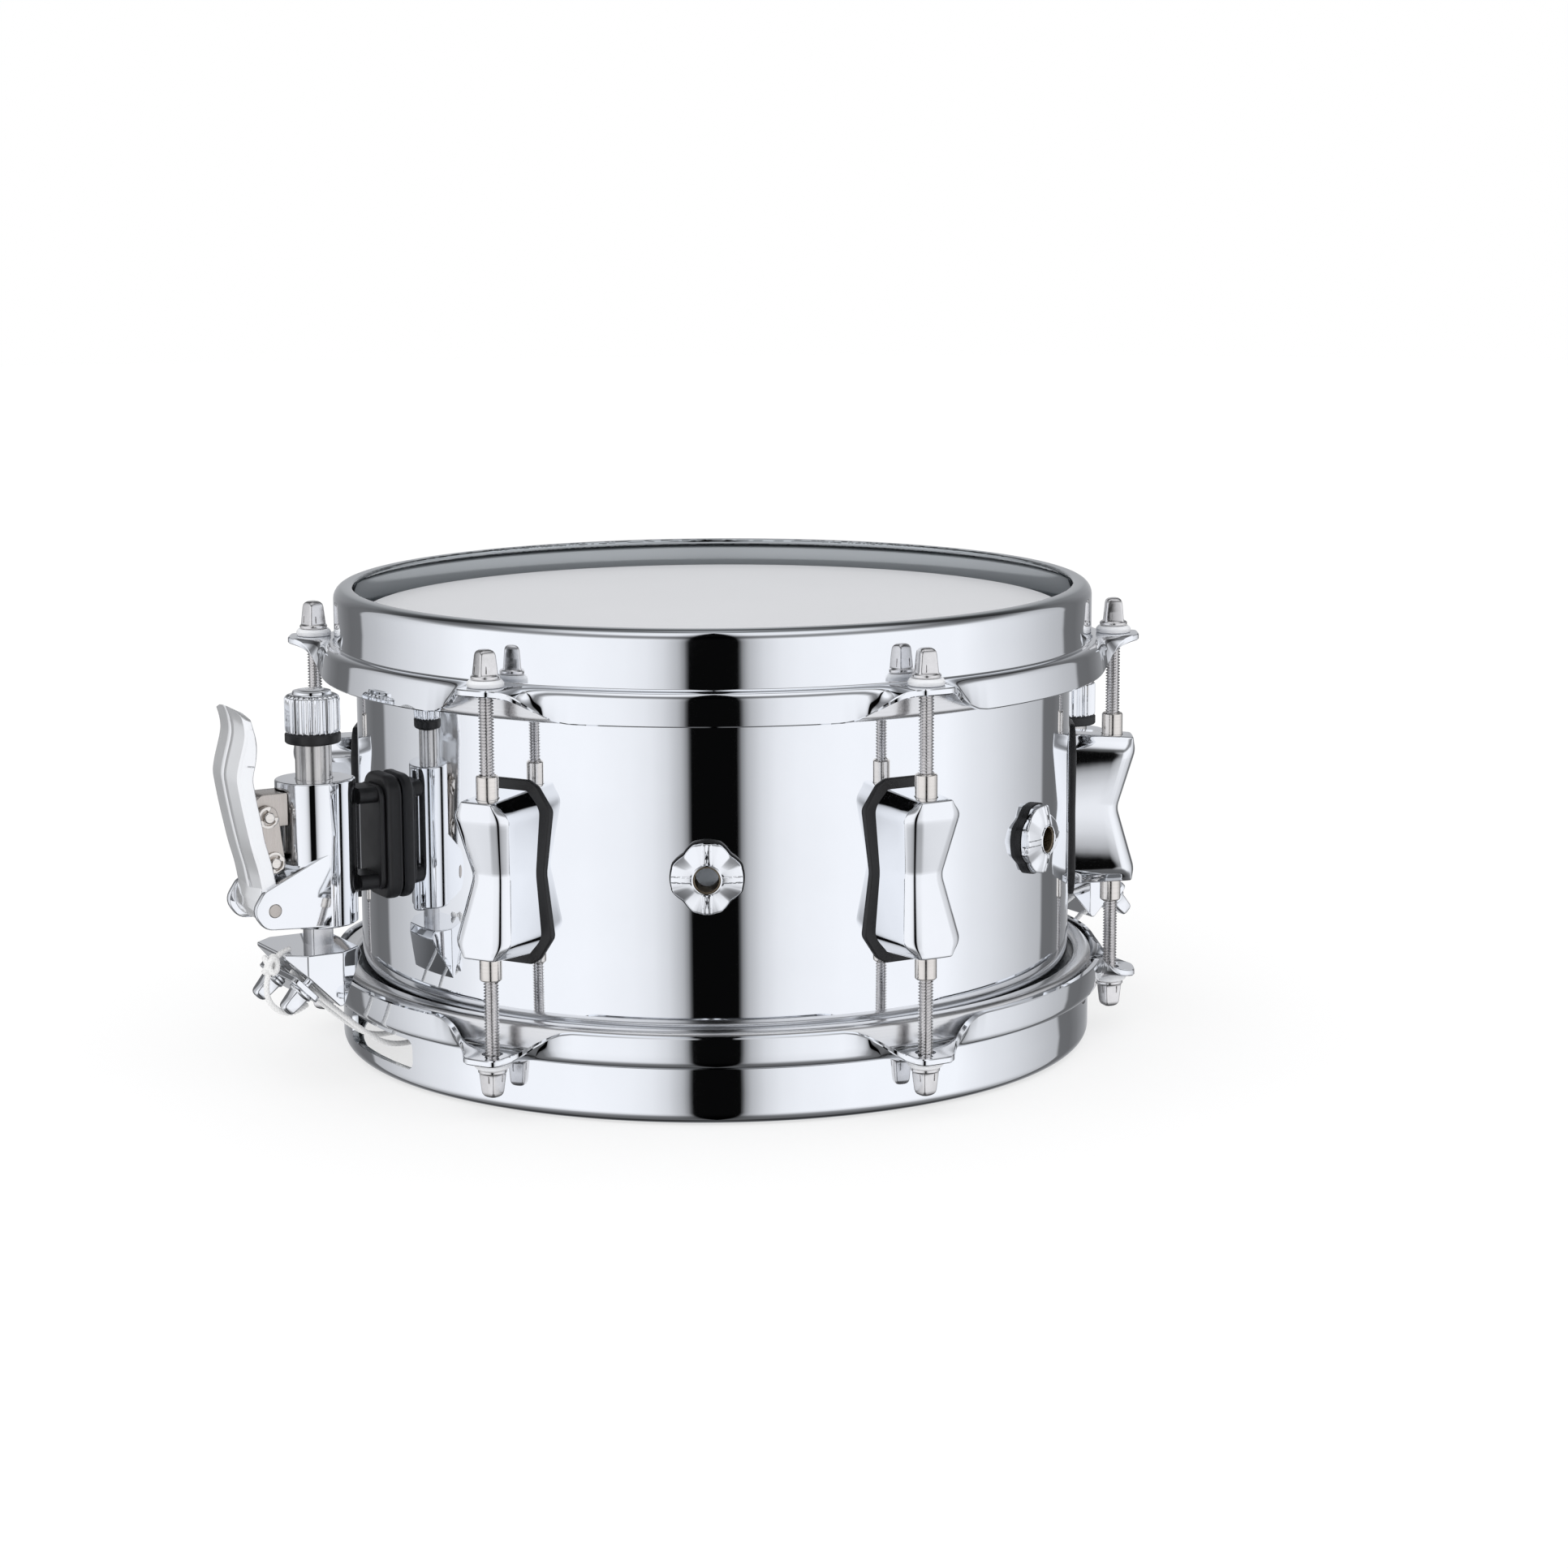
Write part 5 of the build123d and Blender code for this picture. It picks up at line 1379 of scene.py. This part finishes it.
piece(join("link_pins_turned", pins, ("nickel",)), "link", ["link_pins"], 36)
clips = []
for p in (LINK_A, LINK_B):
    for y0 in (-8.8, 7.95):
        # spring clip: an open ring with three prongs that touch the pin
        pts_o, pts_i = [], []
        n = 40
        for i in range(n + 1):
            a = math.radians(38 + (360 - 76) * i / n)
            pts_o.append((3.85 * math.cos(a), 3.85 * math.sin(a)))
            d = math.degrees(a)
            near = min(abs(d - x) for x in (50, 180, 310))
            ri = 2.05 if near < 16 else 2.85
            pts_i.append((ri * math.cos(a), ri * math.sin(a)))
        turn = math.radians(35 if p is LINK_A else -150)
        ol = pts_o + pts_i[::-1]
        ol = [(x * math.cos(turn) - y * math.sin(turn) + p[0], x * math.sin(turn) + y * math.cos(turn) + p[1]) for x, y in ol]
        c = y_prism("e", ol, y0, y0 + 0.85, ("nickel",))
        bevel(c, 0.15, 2, 50)
        clips.append(c)
piece(join("e_clips_spring", clips, ("nickel",)), "link", ["e_clips"], 36)


# ---------------------------------------------------------------------------
# Bars and clamps
# ---------------------------------------------------------------------------
K = math.sqrt(0.5)
FACE_SUM = -127.4
GAP = 2.2


def tilt(sx, dz, y0, out=0.0, along=0.0):
    """Origin and axes on the clamp's tilted face; Z outwards and down."""
    xm, zm = -167.6, FACE_SUM + 167.6
    x = xm - out * K + along * K
    z = zm - out * K - along * K + dz
    if sx < 0:
        return (x, y0, z), (0, 1, 0), (K, 0, -K), (-K, 0, -K)
    return (-x, y0, z), (0, -1, 0), (-K, 0, -K), (K, 0, -K)


def clamp(sx, dz, zs, zt, pre, body):
    cx = sx * AX
    bar = prism("b", rect(8.2, 9.0, 0.9, 4, (cx, 0)), 44.0 + dz, zs, ("steel_bar",))
    bevel(bar, 0.35, 2, 50)
    prof = round_poly([(0.0, zs - 0.5), (2.98, zs - 0.5), (2.98, zt), (2.06, zt), (2.06, zs + 8), (0.0, zs + 8)], [0, 0, 0.4, 0.3, 0, 0], 3)
    stem = lathe("s", prof, 40, (cx, 0), ("steel_bar",), closed=False)
    piece(join(pre + "_bar_milled", [bar, stem], ("steel_bar",)), body, [pre + "_bar"], 36)

    def pt(x, z):
        return (sx * abs(x), 0, z + dz)

    def nv(x, y, z):
        return (sx * -x, y, z)   # normals are written for the strainer's side

    planes = [
        (pt(-160, 50.4), (0, 0, 1)),
        (pt(-147.4, 48.9), nv(1.8, 0, 1.0) if sx < 0 else nv(1.8, 0, 1.0)),
        (pt(-176.5, 49.1), nv(-1, 0, -1)),
        (pt(-176.5, 50), nv(-1, 0, 0)),
        (pt(-157.2, 31.2), nv(16.2, 0, -10.6)),
        (pt(-158, 31.2), (0, 0, -1)),
    ]
    planes = [(p, (-n_[0] if sx < 0 else n_[0], n_[1], n_[2])) if False else (p, n_) for p, n_ in planes]
    for sy in (-1, 1):
        planes.append(((sx * 173.4, sy * 15.2, 0), (sx * 5.6, sy * 7.0, 0)))
        planes.append(((sx * 151.4, sy * 13.8, 0), (-sx * 8.6, sy * 11.0, 0)))
        planes.append(((sx * 160, sy * 18.0, 0), (0, sy, 0)))
    lo = (min(sx * 177, sx * 146.2), -18.1, 31.2 + dz)
    hi = (max(sx * 177, sx * 146.2), 18.1, 50.4 + dz)
    block = clip_solid("blk", lo, hi, planes, ("chrome_cast",))
    bevel(block, 0.55, 3, 18)
    block.name = pre + "_clamp_block_cast"
    piece(block, body, [pre + "_clamp_block"], 36, weighted=True)
    # plate with rounded corners, its two screws with washers and square heads
    pl = prism("p", rect(33.0, 12.4, 2.4, 5), 0.0, 2.2, ("chrome_cast",))
    bevel(pl, 0.4, 3, 40)
    place(pl, *tilt(sx, dz, 0, out=GAP))
    pl.name = pre + "_clamp_plate_pressed"
    piece(pl, body, [pre + "_clamp_plate"], 36, weighted=True)
    heads = []
    for y0 in (-12.6, 12.6):
        prof = [(0.0, -8.0 - GAP), (1.5, -8.0 - GAP), (1.5, 2.25), (4.4, 2.25), (4.5, 2.6), (4.5, 3.3), (3.9, 3.75), (3.2, 4.0), (0.0, 4.0)]
        prof = round_poly(prof, [0, 0.2, 0.1, 0.2, 0.2, 0.3, 0.5, 0.3, 0], 3)
        a = lathe("w", prof, 40, mats=("chrome_cast",), closed=False)
        rings = []
        for z, hw, cr in ((3.4, 3.3, 1.4), (4.0, 3.05, 1.0), (7.0, 2.75, 0.85), (9.6, 2.5, 0.8), (10.4, 2.3, 0.95), (10.9, 1.95, 1.1), (11.2, 1.4, 1.0), (11.3, 0.8, 0.6)):
            rings.append([(x, y, z) for x, y in rect(2 * hw, 2 * hw, cr, 4)])
        b = loft("h", rings, ("chrome_cast",))
        for c in (a, b):
            place(c, *tilt(sx, dz, y0, out=GAP))
            heads.append(c)
    piece(join(pre + "_clamp_screw_heads", heads, ("chrome_cast",)), body, [pre + "_clamp_screws"], 34)


clamp(-1, 0.0, 65.5, 112.0, "strainer", "strainer_clamp")
clamp(1, -4.0, 61.5, 84.0, "butt", "butt_clamp")


# ---------------------------------------------------------------------------
# Snares: coiled wires, end plates and cords
# ---------------------------------------------------------------------------
def coil(y, z, x0, x1, r, wr, pitch, phase):
    per, side = 9, 4
    turns = (x1 - x0) / pitch
    n = int(turns * per)
    t = np.arange(n + 1) / per * TAU + phase
    x = x0 + (x1 - x0) * np.arange(n + 1) / n
    c = np.stack([x, y + r * np.cos(t), z + r * np.sin(t)], 1)
    rad = np.stack([np.zeros_like(t), np.cos(t), np.sin(t)], 1)
    tan = np.gradient(c, axis=0)
    tan /= np.linalg.norm(tan, axis=1)[:, None]
    bi = np.cross(tan, rad)
    ring = []
    for k in range(side):
        a = TAU * (k + 0.5) / side
        ring.append(c + wr * (math.cos(a) * rad + math.sin(a) * bi))
    v = np.stack(ring, 1).reshape(-1, 3)
    i, j = np.meshgrid(np.arange(n), np.arange(side), indexing="ij")
    q = np.stack([i * side + j, i * side + (j + 1) % side, (i + 1) * side + (j + 1) % side, (i + 1) * side + j], -1).reshape(-1, 4)
    return v, q


WIRE_Z = SHELL_Z0 - 0.03 - 0.25 - 0.1 - 0.95
vv, qq, off = [], [], 0
for i in range(16):
    v, q = coil((i - 7.5) * 2.4, WIRE_Z, -87.9, 87.9, 0.70, 0.24, 1.35, i * 1.9)
    vv.append(v)
    qq.append(q + off)
    off += len(v)
wires = raw("snare_wires_coiled", np.concatenate(vv), np.concatenate(qq), ("snare",), fix=False)
piece(wires, "root", ["snare_wires"], 60)
parts = []
for sx in (-1, 1):
    pl = x_prism("pl", sx, rect(43.0, 1.5, 0.5, 3, (0, WIRE_Z - 0.25)), 88.02, 100.0, ("snare",))
    holes = []
    for y in (-16.0, -8.0, 8.0, 16.0):
        holes.append(prism("c", circle(1.6, 24, (sx * 95.5, y)), WIRE_Z - 5, WIRE_Z + 5))
    cut(pl, *holes)
    bevel(pl, 0.2, 2, 50)
    parts.append(pl)
piece(join("snare_end_plates_pressed", parts, ("snare",)), "root", ["snare_end_plates"], 36)


def braid_bump(s, a):
    u = 4.4 * s
    return 0.90 + 0.10 * max(math.sin(u + 4 * a), math.sin(u - 4 * a))


def snare_cord(sx, dz, node):
    s = FACE_SUM - GAP / 2 * math.sqrt(2)
    pts = [(sx * 172.6, s + 172.6 + dz), (sx * 162.5, s + 162.5 + dz), (sx * 154.0, s + 154.0 + dz + 0.9), (sx * 146.0, (s + 146.0 + dz) * 0.5 + 10.3), (sx * 136.5, 12.2), (sx * 124.0, 12.6), (sx * 112.0, 14.2), (sx * 100.3, WIRE_Z - 0.3)]
    line = smooth_line([(x, 0, z) for x, z in pts])
    parts = []
    for y0 in (-8.0, 8.0):
        l2 = line.copy()
        l2[:, 1] = y0
        parts.append(tube("t", l2, 1.0, ("cord",), around=14, step=0.3, bump=braid_bump))
    o = join(node + "_braided", parts, ("cord",))
    smooth(o.data, 60)
    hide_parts(node)
    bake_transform(o)
    return o


snare_cord(-1, 0.0, "snare_cord_strainer")
snare_cord(1, -4.0, "snare_cord_butt")

LOOP = [
    (-172.5, -8.4, 51.6), (-177.6, -9.6, 50.6), (-181.4, -11.2, 46.6), (-183.2, -11.6, 40.6),
    (-182.6, -11.4, 34.8), (-178.6, -11.0, 30.4), (-172.6, -10.4, 28.8), (-166.8, -8.4, 31.2),
]
loop_line = smooth_line(LOOP)
parts = [tube("t", loop_line, 1.05, ("cord",), around=14, step=0.3, bump=braid_bump)]
# overhand knot: three tight turns of the same cord
kc = np.array((-181.0, -11.2, 47.4))
knot = []
for i in range(140):
    t = i / 139 * TAU * 2.2
    knot.append(kc + np.array((2.0 * math.cos(t) * (1 - 0.1 * math.sin(2 * t)), 1.9 * math.sin(t), 2.5 * math.sin(1.5 * t + 0.6))))
parts.append(tube("t", knot, 1.1, ("cord",), around=14, step=0.3, bump=braid_bump))
loop = join("cord_loop_braided", parts, ("cord",))
piece(loop, "strainer_clamp", ["cord_loop"], 60)

# ---------------------------------------------------------------------------
# Floor and light
# ---------------------------------------------------------------------------
fm = Mat("floor_pale")
fm.b.inputs["Base Color"].default_value = (0.36, 0.36, 0.36, 1)
fm.b.inputs["Roughness"].default_value = 0.9
fm.b.inputs["Specular IOR Level"].default_value = 0.0
grain = fm.noise(3.0, 2.0, 0.5)
fm.link(fm.ramp(grain, [(0.3, 0.36), (0.7, 0.365)]), fm.b.inputs["Base Color"])
fm.b.inputs["Emission Color"].default_value = (1, 1, 1, 1)
fm.b.inputs["Emission Strength"].default_value = 0.66
try:
    fm.mat.cycles.emission_sampling = "NONE"
except (AttributeError, TypeError):
    pass
MATS["floor"] = fm.mat
floor = raw("floor", [(4000 * math.cos(TAU * i / 96), 4000 * math.sin(TAU * i / 96), -0.4) for i in range(96)], [tuple(range(96))], ("floor",))
floor.visible_glossy = False

world = bpy.data.worlds.new("studio")
scene.world = world
world.use_nodes = True
nt = world.node_tree
nt.nodes.clear()


def wn(kind, **kw):
    n_ = nt.nodes.new(kind)
    for k_, v_ in kw.items():
        setattr(n_, k_, v_)
    return n_


def wmath(op, a, b=None):
    n_ = wn("ShaderNodeMath", operation=op)
    for i_, v_ in enumerate((a, b)):
        if v_ is None:
            continue
        if isinstance(v_, (int, float)):
            n_.inputs[i_].default_value = v_
        else:
            nt.links.new(v_, n_.inputs[i_])
    return n_.outputs[0]


def wramp(fac, stops):
    n_ = wn("ShaderNodeValToRGB")
    els = n_.color_ramp.elements
    while len(els) < len(stops):
        els.new(0.5)
    for e, (p, c) in zip(els, stops):
        e.position = p
        e.color = (c, c, c, 1)
    nt.links.new(fac, n_.inputs["Fac"])
    return n_.outputs["Color"]


tc = wn("ShaderNodeTexCoord")
sep = wn("ShaderNodeSeparateXYZ")
nt.links.new(tc.outputs["Generated"], sep.inputs[0])
X, Y, Z = sep.outputs
hor = wmath("SQRT", wmath("MAXIMUM", wmath("ADD", wmath("MULTIPLY", X, X), wmath("MULTIPLY", Y, Y)), 1e-8))
dot = wmath("DIVIDE", wmath("ADD", wmath("MULTIPLY", X, -0.4825), wmath("MULTIPLY", Y, -0.8759)), hor)
dot = wmath("MAXIMUM", wmath("MINIMUM", dot, 1.0), -1.0)
az = wmath("DIVIDE", wmath("ARCCOSINE", dot), math.pi)
G = 1.0 / 0.935
profile = [(0, 8), (7.4, 8), (8.3, 130), (10.2, 180), (14.6, 215), (19.5, 232), (26, 240), (41, 246), (77.5, 246), (89, 231), (98.5, 222), (108.6, 208), (120.5, 190), (129, 180), (131.0, 106), (140, 104), (147, 118), (160, 150), (170, 180), (180, 190)]
side = wramp(az, [(a / 180.0, srgb(v) * G) for a, v in profile])
elev = wmath("ADD", wmath("DIVIDE", wmath("ARCSINE", wmath("MAXIMUM", wmath("MINIMUM", Z, 1.0), -1.0)), math.pi), 0.5)


def el(a):
    return a / 180.0 + 0.5


gain = wramp(elev, [(el(-90), 0.10), (el(-62), 0.16), (el(-48), 0.34), (el(-38), 0.78), (el(-28), 1.0), (el(26), 1.0), (el(33), 0.60), (el(40), 0.30), (el(50), 0.24), (el(58), 0.55), (el(66), 1.0), (el(90), 1.0)])
mulc = wn("ShaderNodeMix", data_type="RGBA", blend_type="MULTIPLY")
mulc.inputs[0].default_value = 1.0
nt.links.new(side, mulc.inputs[6])
nt.links.new(gain, mulc.inputs[7])
tint = wn("ShaderNodeMix", data_type="RGBA", blend_type="MULTIPLY")
tint.inputs[0].default_value = 1.0
nt.links.new(mulc.outputs[2], tint.inputs[6])
tint.inputs[7].default_value = (0.975, 0.99, 1.03, 1)
bg_g = wn("ShaderNodeBackground")
nt.links.new(tint.outputs[2], bg_g.inputs["Color"])
bg_d = wn("ShaderNodeBackground")
soft = wramp(elev, [(el(-90), 0.55), (el(0), 0.82), (el(40), 1.0), (el(90), 1.05)])
nt.links.new(soft, bg_d.inputs["Color"])
bg_c = wn("ShaderNodeBackground")
bg_c.inputs["Color"].default_value = (1, 1, 1, 1)
lp = wn("ShaderNodeLightPath")
mix1 = wn("ShaderNodeMixShader")
nt.links.new(lp.outputs["Is Diffuse Ray"], mix1.inputs[0])
nt.links.new(bg_g.outputs[0], mix1.inputs[1])
nt.links.new(bg_d.outputs[0], mix1.inputs[2])
mix2 = wn("ShaderNodeMixShader")
nt.links.new(lp.outputs["Is Camera Ray"], mix2.inputs[0])
nt.links.new(mix1.outputs[0], mix2.inputs[1])
nt.links.new(bg_c.outputs[0], mix2.inputs[2])
wout = wn("ShaderNodeOutputWorld")
nt.links.new(mix2.outputs[0], wout.inputs[0])

light = bpy.data.lights.new("softbox", "AREA")
light.shape = "RECTANGLE"
light.size, light.size_y = 1.6, 1.2
light.energy = 5.0
lo_ = bpy.data.objects.new("softbox", light)
lo_.location = (-0.9, -1.0, 1.6)
lo_.rotation_euler = (Vector((0, 0, 0.08)) - Vector(lo_.location)).to_track_quat("-Z", "Y").to_euler()
lo_.visible_glossy = False
scene.collection.objects.link(lo_)

scene.view_settings.view_transform = "Standard"
scene.view_settings.look = "None"
